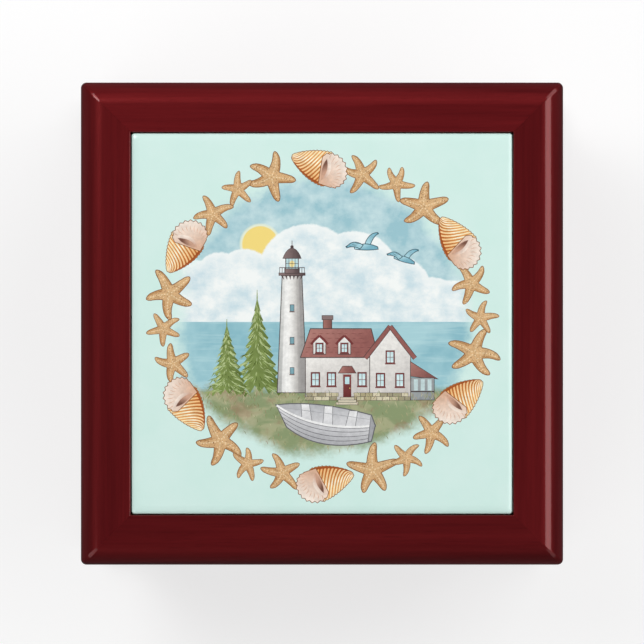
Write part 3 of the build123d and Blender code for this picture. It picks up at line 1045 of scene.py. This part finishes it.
def lighthouse(x, foot, height):
    """The tower in upright strips of shade, then its gallery on brackets, its lantern and its dome."""
    at(x, foot)

    def strip(left, right):
        """A strip of the tower between two shares of its half width."""
        low, high = (left * TOWER_FOOT, right * TOWER_FOOT), (left * TOWER_HEAD, right * TOWER_HEAD)
        return [(low[0], 0), (low[1], 0), (high[1], height), (high[0], height)]

    edged(strip(-1, 1), 0.22, TOWER_SHADES[2])
    count = len(TOWER_SHADES)
    for i, shade in enumerate(TOWER_SHADES):
        left, right = 2 * i / count - 1, 2 * (i + 1) / count - 1
        following = TOWER_SHADES[min(i + 1, count - 1)]
        lay(strip(left, right), shade, following, [(left * 3.2, 0), (right * 3.2, 0)])
    for level in TOWER_WINDOWS:
        sill = height * level
        edged(block(-0.5, sill, 0.5, sill + 1.7), 0.14, "7FA9B4")
        lay(block(-0.75, sill - 0.4, 0.75, sill - 0.15), IRON_LIGHT)
    deck = height + 0.2
    for i in range(6):
        bracket = -2.9 + 5.8 * i / 5
        lay([(bracket - 0.34, deck), (bracket + 0.34, deck), (0.78 * bracket, deck - 1.3)], IRON)
    edged(block(-3.7, deck, 3.7, deck + 0.65), 0.1, IRON_LIGHT, IRON, [(-3.7, deck), (3.7, deck)])
    for i in range(11):
        post = -3.5 + 0.7 * i
        lay(block(post - 0.08, deck + 0.6, post + 0.08, deck + 2.2), IRON)
    lantern = deck + 0.65
    edged(block(-1.9, lantern, 1.9, lantern + 1.2), 0.16, IRON_LIGHT, IRON, [(-1.5, 0), (1.9, 0)])
    edged(block(-1.75, lantern + 1.3, 1.75, lantern + 4.1), 0.16, "BFDDE0")
    lay(oval(0, lantern + 2.6, 0.75, 0.95), "F5E3A0")
    for i in range(5):
        bar = -1.75 + 0.875 * i
        lay(block(bar - 0.07, lantern + 1.2, bar + 0.07, lantern + 4.2), IRON)
    lay(block(-1.8, lantern + 2.62, 1.8, lantern + 2.76), IRON)
    lay(block(-3.6, deck + 2.1, 3.6, deck + 2.3), IRON)
    eaves = lantern + 4.2
    dome = bow((2.5, eaves), (1.7, eaves + 2.3), (0.25, eaves + 2.8))
    dome += bow((-0.25, eaves + 2.8), (-1.7, eaves + 2.3), (-2.5, eaves))
    edged(dome, 0.14, IRON_LIGHT, IRON, [(-1.8, eaves), (2.2, eaves)])
    lay(oval(0, eaves + 3.2, 0.5, 0.5, count=12), IRON)
    lay(block(-0.09, eaves + 3.5, 0.09, eaves + 5.0), IRON)


lighthouse(-8.5, -19.5, 33.0)

# The keeper's cottage: a long wing with two dormers, a gabled end and a lean-to porch, all under red roofs.
WALL_WHITE, WALL_SHADE = "EFEDE8", "CFCAC6"
ROOF, ROOF_DARK, ROOF_LIGHT = "96605B", "7A4846", "B27F76"
TRIM, PANE = "7C3F3E", "BFE0E4"
STONES = ("C9C0A0", "B3A985", "D8D0B4", "A39C82")
COTTAGE_WINDOWS = (
    (2.4, 3.6, 2.9),
    (6.4, 3.6, 2.9),
    (14.0, 3.6, 2.9),
    (18.6, 3.4, 2.9),
    (23.4, 3.4, 2.9),
    (21.0, 9.3, 2.6),
)


def window(x, bottom, width=1.5, height=2.5):
    """A sash window with a dark red frame, a sill and four panes."""
    left, right, top = x - width / 2, x + width / 2, bottom + height
    edged(block(left - 0.28, bottom - 0.2, right + 0.28, top + 0.32), 0.08, TRIM)
    for column in (0, 1):
        for row in (0, 1):
            low = (left + column * (width / 2 + 0.06), bottom + row * (height / 2 + 0.06))
            high = (low[0] + width / 2 - 0.06, low[1] + height / 2 - 0.06)
            glass = block(*low, *high)
            lay(glass, "DDF0F1", PANE, [low, high])
    lay(block(left - 0.5, bottom - 0.5, right + 0.5, bottom - 0.2), ROOF_DARK)


def shingles(rows, left, right, bottom, top, lean, draw):
    """Short broken lines along each course of a roof."""
    for row in range(1, rows):
        share = row / rows
        y = bottom + (top - bottom) * share
        x = left + lean * share + draw.uniform(0.2, 0.8)
        while x < right - lean * share - 1.4:
            length = draw.uniform(0.7, 1.8)
            line([(x, y), (x + length / 2, y), (x + length, y)], 0.13, ROOF_DARK, taper=0.8)
            x += length + draw.uniform(0.3, 0.9)


def shaded_wall(outline, width, run):
    """A whitewashed wall, darker towards the end of a run of two points."""
    edged(outline, width, WALL_WHITE, WALL_SHADE, run)


def cottage(x, foot, draw):
    """Chimney, long wing with its roof and dormers, gabled end, porch, windows, door, footing and steps."""
    at(x, foot, size=1.14)
    edged(block(4.4, 16.5, 6.4, 20.6), 0.16, "A8746A", "7D5550", [(4.4, 0), (6.4, 0)])
    edged(block(4.1, 20.0, 6.7, 20.9), 0.14, IRON_LIGHT)
    shaded_wall(block(0, 0, 17, 11), 0.18, [(0, 11), (3, 0)])
    roof = [(-1.2, 10.6), (18, 10.6), (16.2, 17.6), (1.2, 17.6)]
    edged(roof, 0.2, ROOF_LIGHT, ROOF, [(2, 18), (9, 10)])
    shingles(6, -1.0, 18, 10.7, 17.6, 2.2, draw)
    for dormer in (3.4, 9.6):
        left, right = dormer - 1.5, dormer + 1.5
        front = [(left, 11.4), (right, 11.4), (right, 14.2), (dormer, 15.6), (left, 14.2)]
        shaded_wall(front, 0.15, [(dormer - 1, 14), (right, 11)])
        window(dormer, 11.9, 1.3, 1.9)
        for side in (-1, 1):
            verge = [(dormer, 15.95), (dormer + side * 1.1, 14.95), (dormer + side * 2.1, 13.8)]
            line(verge, 0.62, TRIM, 0.1)
    shaded_wall([(16, 0), (26, 0), (26, 11), (21, 17.4), (16, 11)], 0.18, [(17, 14), (26, 2)])
    for side in (-1, 1):
        verge = [(21, 18.3), (21 + side * 3.0, 14.4), (21 + side * 6.2, 10.3)]
        line(verge, 1.25, INK, 0.05)
        line(verge, 0.95, ROOF, 0.05)
    edged([(26.1, 9.4), (26.1, 5.9), (32.8, 5.2)], 0.16, ROOF_LIGHT, ROOF_DARK, [(26, 10), (32, 5)])
    edged(block(26.2, 0, 31.9, 5.4), 0.14, "A9AFB0", "8D9294", [(26, 5), (32, 0)])
    for bay in (27.4, 29.1, 30.8):
        lay(block(bay - 0.5, 2.3, bay + 0.5, 5.1), "C6DADB")
    lay(block(26.2, 1.9, 31.9, 2.2), INK)
    for middle, bottom, height in COTTAGE_WINDOWS:
        window(middle, bottom, 1.6, height)
    door = block(9.3, 0.6, 11.3, 6.3)
    edged(door, 0.3, "8B4A48", "64302F", [(9, 6), (11, 0)], edge=WALL_SHADE)
    lay(block(9.75, 3.9, 10.85, 5.7), PANE)
    lay(oval(10.95, 2.9, 0.14, 0.14, count=8), "E2C674")
    hood = [(8.2, 6.7), (12.4, 6.7), (11.4, 8.3), (9.2, 8.3)]
    edged(hood, 0.14, ROOF_LIGHT, ROOF_DARK, [(8, 8), (12, 7)])
    for row in range(2):
        left = -0.1 + 0.4 * row
        while left < 25.4:
            length = min(draw.uniform(1.2, 2.2), 26.1 - left)
            if not 8.6 < left + length / 2 < 12.0:
                stone = block(left, 0.95 * row - 0.1, left + length - 0.12, 0.95 * row + 0.75)
                edged(stone, 0.08, draw.choice(STONES))
            left += length
    for step in range(3):
        wide, low = 1.7 + 0.5 * (2 - step), -1.2 + 0.6 * step
        edged(block(10.3 - wide, low, 10.3 + wide, -0.6 + 0.6 * step), 0.1, "D5CDB6")


cottage(-4.6, -21.6, random.Random(7))

# The rowing boat: a clinker hull drawn up on the grass, seen from its near side, with three thwarts.
HULL, HULL_SHADE, HULL_INSIDE, HULL_EDGE = "D9D9DB", "A7A8AC", "B9BABD", "68686C"


def rowing_boat(x, y):
    """The inside between its far and near edges, the thwarts, then the planked side and the transom."""
    at(x, y, turn=3, flip=True)
    stern, bow_tip = (-12.0, 1.3), (14.6, 5.6)
    far = bow(stern, (3.0, 6.4), bow_tip, 12)
    near = bow(bow_tip, (4.0, -2.6), (-12.9, -1.6), 14)
    keel = bow((-11.6, -5.9), (3.0, -8.6), (12.0, -0.6), 14)
    edged(far + near[1:], 0.3, HULL_INSIDE, HULL, [(0, 5), (0, -1)], edge=HULL_EDGE)
    for share in (0.18, 0.42, 0.66):
        start, end = far[round(share * 12)], near[round((1 - share) * 14)]
        way = Vector((1.1, 0.1))
        thwart = [start - way, start + way, Vector(end) + way * 1.2, Vector(end) - way * 1.2]
        edged(thwart, 0.14, "EFEFEF", HULL, [start, end], edge=HULL_EDGE)
    line(bow((-11.6, 0.2), (2, 2.9), (13.2, 4.9), 10), 0.16, HULL_SHADE, 0.3)
    edged(near + keel, 0.3, HULL, HULL_SHADE, [(0, 1), (2, -7)], edge=HULL_EDGE)
    for plank in (0.3, 0.56, 0.8):
        low = [a.lerp(b, plank) for a, b in zip(reversed(near), keel)]
        line(low, 0.17, HULL_EDGE, 0.3)
    line(near, 0.62, "F2F2F1", 0.1)
    line([p + Vector((0, -0.45)) for p in near], 0.14, HULL_EDGE, 0.2)
    edged([(-12.9, -1.6), (-11.6, -5.9), (-10.9, -5.9), (-12.0, 1.3)], 0.22, HULL_SHADE, edge=HULL_EDGE)


# The gulls, the starfish and the shells.
GULL, GULL_LIGHT, GULL_EDGE = "77B0C2", "B4DDE6", "33505C"


def gull(x, y, turn, size):
    """A gull in flight: far wing, body, near wing and three quill lines."""
    at(x, y, turn, size)
    far_wing = bow((0.2, 0.2), (1.9, 3.3), (4.4, 2.7)) + bow((4.4, 2.7), (2.6, 1.9), (1.5, -0.1))
    near_wing = bow((-0.4, 0.3), (-2.6, 2.6), (-4.8, 0.6)) + bow((-4.8, 0.6), (-2.6, 0.9), (-1.3, -0.4))
    body = bow((-2.6, 0.1), (0.2, 1.3), (3.4, -1.0)) + bow((3.4, -1.5), (0.2, -1.3), (-2.6, -0.2))
    edged(far_wing, 0.2, GULL, GULL_LIGHT, [(4, 2.5), (0.5, 0)], edge=GULL_EDGE)
    edged(body, 0.2, GULL_LIGHT, GULL, [(0, 0.6), (0.4, -0.9)], edge=GULL_EDGE)
    edged(near_wing, 0.2, GULL, GULL_LIGHT, [(-4.6, 0.7), (-0.4, 0)], edge=GULL_EDGE)
    for feather in range(3):
        start = (-4.0 + 0.9 * feather, 0.9 + 0.25 * feather)
        line([start, (start[0] + 0.5, start[1] - 0.35), (start[0] + 1.1, start[1] - 0.5)], 0.14, GULL_EDGE)


at(0, 0)
grass_hand = random.Random(5)
GRASS = ("8E9A66", "A8A67C", "7C8458", "B7A988", "9C8468", "C3BE9A")
DOORWAY_LEFT, DOORWAY_RIGHT, DOORWAY_FOOT = 4.9, 9.4, -23.6
for _ in range(420):
    tuft_x = grass_hand.uniform(-34, 35)
    tuft_y = -20.3 - 17 * grass_hand.random() ** 1.6 * (1 - (tuft_x / 38) ** 2)
    lean = grass_hand.uniform(-0.9, 0.9)
    tall = grass_hand.uniform(0.6, 1.7)
    green = grass_hand.choice(GRASS)
    if DOORWAY_LEFT < tuft_x < DOORWAY_RIGHT and tuft_y > DOORWAY_FOOT:
        continue
    middle = (tuft_x + lean * 0.2, tuft_y + tall * 0.6)
    blade = bow((tuft_x, tuft_y), middle, (tuft_x + lean, tuft_y + tall), 3)
    line(blade, 0.16, green, taper=0.9)
rowing_boat(2.0, -28.0)
gull(12.0, 22.0, 12, 1.05)
gull(23.0, 18.6, -4, 0.95)

STAR_EDGE, STAR_TAN, STAR_SHADE = "8A5C38", "D3A777", "BF9060"
STAR_RIDGE, STAR_BEAD = "E2BF90", "EED9B4"
ARM_WIDTH = 0.15
ARM_TIP = 0.075
ARM_SHARES = (0.3, 0.44, 0.58, 0.72, 0.84, 0.94)


def starfish(x, y, reach, turn, draw):
    """Five blunt curling arms with a beaded ridge down each. Its unit is the length of an arm."""
    at(x, y, turn, reach)
    bends = [draw.uniform(-0.3, 0.3) for _ in range(5)]
    lengths = [draw.uniform(0.88, 1.05) for _ in range(5)]

    def along_arm(arm, share, side):
        """A point at a share of an arm's length, on its ridge at side 0 and on its edges at -1 and 1."""
        angle = 2 * pi * arm / 5 + bends[arm] * share**2
        half = ARM_WIDTH * max(0.0, 1 - share) ** 0.8 + ARM_TIP * min(1.0, 8 * max(0.0, 1 - share)) ** 0.5
        out = Vector((cos(angle), sin(angle)))
        return out * share * lengths[arm] + Vector((-out.y, out.x)) * half * side

    outline = []
    for arm in range(5):
        outline += [along_arm(arm, share, -1) for share in ARM_SHARES]
        outline += [along_arm(arm, 0.985, -1), along_arm(arm, 1.0, 0), along_arm(arm, 0.985, 1)]
        outline += [along_arm(arm, share, 1) for share in reversed(ARM_SHARES)]
    edged(outline, 0.03, STAR_TAN, STAR_RIDGE, [(-0.9, -0.6), (1, 1)], grit=1.0, edge=STAR_EDGE)
    for arm in range(5):
        shade = [along_arm(arm, share, -0.95) for share in ARM_SHARES]
        shade += [along_arm(arm, share, -0.6) for share in reversed(ARM_SHARES)]
        lay(shade, STAR_SHADE, grit=1.0)
        ridge = [along_arm(arm, share, -0.14) for share in (0.05, 0.4, 0.9)]
        ridge += [along_arm(arm, share, 0.14) for share in (0.9, 0.4, 0.05)]
        lay(ridge, STAR_RIDGE, grit=0.6)
        for bead in range(7):
            lay(oval(*along_arm(arm, 0.1 + 0.12 * bead, 0), 0.024, 0.024, count=6), STAR_BEAD)
        for _ in range(16):
            middle = along_arm(arm, draw.uniform(0.18, 0.95), draw.uniform(-0.8, 0.8))
            dot = draw.uniform(0.013, 0.024)
            lay(oval(*middle, dot, dot, count=5), draw.choice((STAR_BEAD, STAR_EDGE, STAR_RIDGE)))


SHELL_EDGE, SHELL_CREAM, SHELL_GOLD = "8A5A3A", "FBE6B8", "EDB36C"
SHELL_RUST, SHELL_AMBER = "B4602E", "E39A4E"
SHELL_LIP, SHELL_LIP_SHADE = "F7E9DC", "DDB59A"
SHELL_MOUTH, SHELL_MOUTH_LIGHT = "7A5648", "CFA48C"
SHELL_RIBS = 11
RIB_SLANT = 0.24
FAN_SCALLOPS = 11


def shell(x, y, size, turn):
    """A striped whelk shell: a cone from its tip at -1 that opens into a scalloped lip at 1."""
    at(x, y, turn, size)

    def on_body(share, across):
        """A point at a share of the way from tip to mouth, and from -1 to 1 across."""
        half = 0.06 + 0.6 * sin(pi / 2 * share) ** 0.8
        ripple = 1 + 0.03 * cos(2 * pi * SHELL_RIBS * (share - RIB_SLANT * across))
        return Vector((-1 + 1.45 * share, 0.14 * (1 - share) ** 2 + across * half * ripple))

    def on_rib(rib, across):
        """A point on the slanting line that bounds a rib."""
        return on_body(min(1.0, max(0.0, rib / SHELL_RIBS + RIB_SLANT * (across + 1) - 0.3)), across)

    steps = [i / 30 for i in range(31)]
    outline = [on_body(share, -1) for share in steps] + [on_body(share, 1) for share in reversed(steps)]
    edged(outline, 0.024, SHELL_CREAM, SHELL_GOLD, [(-0.1, 0.2), (-0.1, -0.6)], edge=SHELL_EDGE)
    crossing = [i / 6 - 1 for i in range(13)]
    for rib in range(SHELL_RIBS + 3):
        band = [on_rib(rib, a) for a in crossing]
        band += [on_rib(rib + 0.45, a * 0.985) for a in reversed(crossing)]
        if (Vector(band[0]) - Vector(band[-1])).length + (Vector(band[12]) - Vector(band[13])).length < 0.03:
            continue
        lay(band, SHELL_RUST, SHELL_AMBER, [on_rib(rib, -1), on_rib(rib, 0.5)])
        glow = [on_rib(rib + 0.7, a) for a in (-0.1, 0.25, 0.6)]
        line(glow, 0.045, "FFF6DC", 0.9)
    shade = [on_body(share, -0.99) for share in steps[3:]]
    shade += [on_body(share, -0.84) for share in reversed(steps[3:])]
    lay(shade, "A8562B")

    def on_fan(angle, reach):
        """A point of the lip, which fans out from the mouth's inner corner."""
        return Vector((0.3, -0.34)) + Vector((cos(angle), sin(angle))) * reach

    fan = [Vector((0.24, -0.6))]
    for i in range(4 * FAN_SCALLOPS + 1):
        share = i / (4 * FAN_SCALLOPS)
        ruffle = 0.035 * cos(2 * pi * FAN_SCALLOPS * share)
        reach = 0.46 + 0.3 * sin(pi * share) ** 0.7 + 0.42 * share + ruffle
        fan.append(on_fan(radians(-36 + 128 * share), reach))
    fan.append(Vector((0.14, 0.42)))
    edged(fan, 0.026, SHELL_LIP, SHELL_LIP_SHADE, [(0.8, 0.5), (0.1, -0.2)], edge=SHELL_EDGE)
    for i in range(FAN_SCALLOPS):
        angle = radians(-30 + 122 * i / FAN_SCALLOPS)
        start, end = on_fan(angle, 0.4 + 0.03 * i), on_fan(angle, 0.6 + 0.04 * i)
        line([start, on_fan(angle + 0.03, 0.5 + 0.035 * i), end], 0.03, SHELL_LIP_SHADE, 0.85)
    mouth = bow((0.3, -0.46), (0.8, -0.1), (0.36, 0.5), 8) + bow((0.36, 0.5), (0.1, 0.1), (0.3, -0.46), 8)
    lay(mouth, SHELL_MOUTH_LIGHT, SHELL_LIP, [(0.24, 0.0), (0.56, 0.1)])
    depth = bow((0.3, -0.4), (0.54, -0.1), (0.32, 0.38), 8) + bow((0.32, 0.38), (0.16, 0.1), (0.3, -0.4), 8)
    lay(depth, SHELL_MOUTH, SHELL_MOUTH_LIGHT, [(0.24, 0.1), (0.42, -0.1)])


WREATH_RADIUS = 44.4
WREATH_REPEATS = 6
wreath_hand = random.Random(23)


def on_wreath(angle, out=0.0):
    """A point on the wreath's ring, or a little outside it."""
    return ((WREATH_RADIUS + out) * cos(radians(angle)), (WREATH_RADIUS + out) * sin(radians(angle)))


for repeat in range(WREATH_REPEATS):
    start = 92 - 360 / WREATH_REPEATS * repeat
    starfish(*on_wreath(start + 17, -0.4), 7.4, wreath_hand.uniform(0, 72), wreath_hand)
    starfish(*on_wreath(start + 30, 0.6), 5.0, wreath_hand.uniform(0, 72), wreath_hand)
    starfish(*on_wreath(start + 43, -0.6), 5.9, wreath_hand.uniform(0, 72), wreath_hand)
for repeat in range(WREATH_REPEATS):
    start = 92 - 360 / WREATH_REPEATS * repeat
    shell(*on_wreath(start, 0.2), 7.4, start - 90 + wreath_hand.uniform(-22, 22))


# ---- tile: glazed body ---------------------------------------------------------------------------
# A pressed white tile with a soft pillowed rim. The picture and its pale watercolour ground lie under the
# clear glaze, which runs over the rim and part of the way down. The rest of the sides and the back are bare.
SKY, SKY_PALE = "9CC6D0", "CFE6E8"
SUN, SUN_GLOW = "F5DC82", "E6EED8"
CLOUD, CLOUD_SHADE = "F6FAF8", "CCE1E8"
SEA, SEA_PALE, SEA_STREAK = "8CBDC9", "A9D2D9", "C3E3E6"
MINT, MINT_PALE = "D1EEE6", "D6F0E9"
LAND = ("A8AB86", "8C9A72", "9B8066", "C6BD9E")
HORIZON = 0.5
SUN_PLACE = (-17.5, 22.5)
CLOUD_TOP = 12.0
CLOUD_PUFFS = (
    (-37, 9, 9),
    (-29, 13, 7),
    (-22, 13, 8),
    (-4, 14, 14),
    (9, 13, 13),
    (21, 9, 10),
    (31, 4, 9),
    (39, 0, 8),
)


def watercolour_group():
    """The painted ground: a round seaside wash that fades into the mint rim."""
    tree, given, put_out = group("watercolour", {"Vector": "Vector"}, {"Color": "Color"})
    spots = node(tree, "SeparateXYZ", {0: scaled(tree, given["Vector"], 1 / MM)}).outputs
    y = spots[1]
    flat = node(tree, "CombineXYZ", {0: spots[0], 1: y}).outputs[0]
    wander = stretched_noise(tree, flat, 0.06, detail=4, roughness=0.6)
    billow = stretched_noise(tree, flat, (0.11, 0.13, 0.13), detail=5, roughness=0.62)
    fine = stretched_noise(tree, flat, 0.9, detail=5, roughness=0.7)
    streaks = stretched_noise(tree, flat, (0.04, 0.5, 0.5), detail=4, roughness=0.6)
    blots = stretched_noise(tree, flat, (0.16, 0.26, 0.26), detail=5, roughness=0.6, distortion=0.5)

    def away_from(spot_x, spot_y):
        ends = {0: flat, 1: (spot_x, spot_y, 0)}
        return node(tree, "VectorMath", ends, operation="DISTANCE").outputs["Value"]

    def washed(ground, colour, mask, *limits, smooth=False):
        return mixed(tree, spread(tree, mask, *limits, smooth=smooth), ground, colour)

    sun_reach = away_from(*SUN_PLACE)
    sky = washed(SKY, SKY_PALE, billow, 0.38, 0.66)
    sky = washed(sky, SUN_GLOW, sun_reach, 6.2, 5.4, smooth=True)
    sky = washed(sky, SUN, sun_reach, 5.3, 5.0)
    bank = maths(tree, "SUBTRACT", y, CLOUD_TOP)
    for puff_x, puff_y, radius in CLOUD_PUFFS:
        edge = maths(tree, "SUBTRACT", away_from(puff_x, puff_y), float(radius))
        bank = maths(tree, "SMOOTH_MIN", bank, edge, 0.5)
    ragged = plus(tree, bank, fine, 1.1)
    cloud = washed(CLOUD_SHADE, CLOUD, billow, 0.36, 0.6)
    cloud = washed(cloud, CLOUD, ragged, -2.4, 0.4, 0.0, 0.75)
    sky = washed(sky, cloud, ragged, 1.0, 0.5)

    sea = washed(SEA, SEA_PALE, wander, 0.4, 0.62)
    sea = washed(sea, SEA_STREAK, streaks, 0.5, 0.62, 0.0, 0.35)
    scene = mixed(tree, maths(tree, "LESS_THAN", y, HORIZON), sky, sea)

    land = washed(LAND[0], LAND[1], blots, 0.38, 0.56, smooth=True)
    land = washed(land, LAND[2], billow, 0.5, 0.66, 0.0, 0.7, smooth=True)
    land = washed(land, LAND[3], wander, 0.5, 0.66, 0.0, 0.6, smooth=True)
    shore = plus(tree, plus(tree, y, blots, 7.0), fine, 2.0)
    scene = washed(scene, land, shore, -12.5, -15.0)

    reach = node(tree, "VectorMath", {0: flat}, operation="LENGTH").outputs["Value"]
    soft = plus(tree, plus(tree, reach, wander, 12.0), fine, 4.0)
    soft = maths(tree, "ADD", soft, spread(tree, y, -20.0, -40.0, 0.0, 6.0))
    paper = washed(MINT, MINT_PALE, wander, 0.35, 0.65)
    feed(tree, put_out["Color"], washed(paper, scene, soft, 52.5, 46.0, smooth=True))
    return tree


def glaze(name, colours):
    """Clear glaze over a picture. colours is given the material's tree and gives back its colour output."""
    made, tree, shader = material(
        name, Roughness=0.5, Specular_IOR_Level=0.0, Coat_Weight=1.0, Coat_Roughness=0.05, Coat_IOR=1.5
    )
    sag = stretched_noise(tree, own_place(tree), 90, detail=2)
    feed(tree, shader.inputs["Coat Normal"], finish(tree, shader, colours(tree), sag, 0.5, 0.04 * MM))
    return made


watercolour = watercolour_group()


def wash_colours(tree):
    """The painted ground on its own."""
    return node(tree, "Group", {0: own_place(tree)}, node_tree=watercolour).outputs[0]


def brushed_colours(tree):
    """The shapes' own inks, with the starfish stippled where the ink's grit asks for it."""
    ink = node(tree, "Attribute", attribute_name="paint")
    place = own_place(tree)
    mottle = stretched_noise(tree, place, 700, detail=4, roughness=0.65)
    stipple = stretched_noise(tree, place, 3300, detail=1)
    tone = spread(tree, mottle, 0.3, 0.7, 0.86, 1.1)
    dots = spread(tree, stipple, 0.56, 0.68, 0.0, 0.55)
    shaded = mixed(tree, 1.0, ink.outputs["Color"], tone, blend="MULTIPLY")
    return mixed(tree, maths(tree, "MULTIPLY", dots, ink.outputs["Alpha"]), shaded, "8A5A34")


def bare_clay():
    """The white fired body where there is no glaze."""
    made, tree, shader = material("fired_clay", Roughness=0.85, Specular_IOR_Level=0.25)
    specks = stretched_noise(tree, own_place(tree), 1500)
    colour = mixed(tree, spread(tree, specks, 0.35, 0.7), "E9E2D6", "D3C8B8")
    finish(tree, shader, colour, specks, 0.5, 0.08 * MM)
    return made


WASH, PAINT, CLAY = 0, 1, 2
TILE_CORNER = 0.8
RIM_WIDTH = 2.6
RIM_DROP = 0.8
RIM_STEPS = 6
GLAZED_SIDE = 2.2
GLAZE_THICKNESS = 0.04
FOOT_EDGE = 0.4
MEETING_DISTANCE = 1e-3


def shapes_on_top(spots):
    """For each spot, the number of the last shape laid over it, counted from 1, or 0 for the bare ground."""
    on_top = np.zeros(len(spots), int)
    for number, outline in enumerate(picture.outlines, 1):
        points = np.array(outline)
        near = np.flatnonzero(np.all((spots > points.min(0)) & (spots < points.max(0)), axis=1))
        x, y = spots[near].T
        inside = np.zeros(len(near), bool)
        for (x1, y1), (x2, y2) in zip(points, np.roll(points, -1, axis=0)):
            if y1 != y2:
                inside ^= ((y1 > y) != (y2 > y)) & (x < (x2 - x1) * (y - y1) / (y2 - y1) + x1)
        on_top[near[inside]] = number
    return on_top


def tile_body():
    """The face is cut along every shape's outline, so each shape keeps a crisp edge. Works in millimetres."""
    half, top, bottom = tile_high.x / MM, tile_high.z / MM, tile_low.z / MM
    boundary = rounded_square(half - RIM_WIDTH, TILE_CORNER)
    points, edges = [], []
    for outline in [boundary] + picture.outlines:
        first, count = len(points), len(outline)
        edges += [(first + i, first + (i + 1) % count) for i in range(count)]
        points += [Vector(p) for p in outline]
    cut = delaunay_2d_cdt(points, edges, [], 0, MEETING_DISTANCE, True)
    middles = np.array([sum((cut[0][i] for i in numbers), Vector((0, 0))) / 3 for numbers in cut[2]])
    mesh = bmesh.new()
    paint = mesh.loops.layers.float_color.new("paint")
    corners = [mesh.verts.new((p.x * MM, p.y * MM, top * MM)) for p in cut[0]]
    for numbers, shape in zip(cut[2], shapes_on_top(middles)):
        face = mesh.faces.new([corners[i] for i in numbers])
        face.material_index = PAINT if shape else WASH
        if shape:
            for loop, i in zip(face.loops, numbers):
                loop[paint] = picture.ink_at(shape - 1, cut[0][i])
    edge = {old: new for new, olds in enumerate(cut[3]) for old in olds}
    ring = [corners[edge[i]] for i in range(len(boundary))]
    levels = []
    for i in range(1, RIM_STEPS + 1):
        t = pi / 2 * i / RIM_STEPS
        levels.append((half - RIM_WIDTH * (1 - sin(t)), top - RIM_DROP * (1 - cos(t)), WASH))
    bare_half = half - GLAZE_THICKNESS
    levels += [
        (half, top - GLAZED_SIDE, WASH),
        (bare_half, top - GLAZED_SIDE - GLAZE_THICKNESS, WASH),
        (bare_half, bottom + FOOT_EDGE, CLAY),
        (half - FOOT_EDGE, bottom, CLAY),
    ]
    for level_half, height, coat in levels:
        outline = rounded_square(level_half, TILE_CORNER)
        lower = [mesh.verts.new((x * MM, y * MM, height * MM)) for x, y in outline]
        for i in range(len(ring)):
            j = (i + 1) % len(ring)
            mesh.faces.new((lower[i], lower[j], ring[j], ring[i])).material_index = coat
        ring = lower
    mesh.faces.new(list(reversed(ring))).material_index = CLAY
    loose = [v for v in mesh.verts if not v.link_faces]
    bmesh.ops.delete(mesh, geom=loose, context="VERTS")
    return mesh


tile_materials = (glaze("glazed_wash", wash_colours), glaze("glazed_paint", brushed_colours), bare_clay())
tile = new_piece("picture_tile", tile_body(), *tile_materials)
even_shading(tile)
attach(tile, "lid")
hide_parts("ceramic_tile")
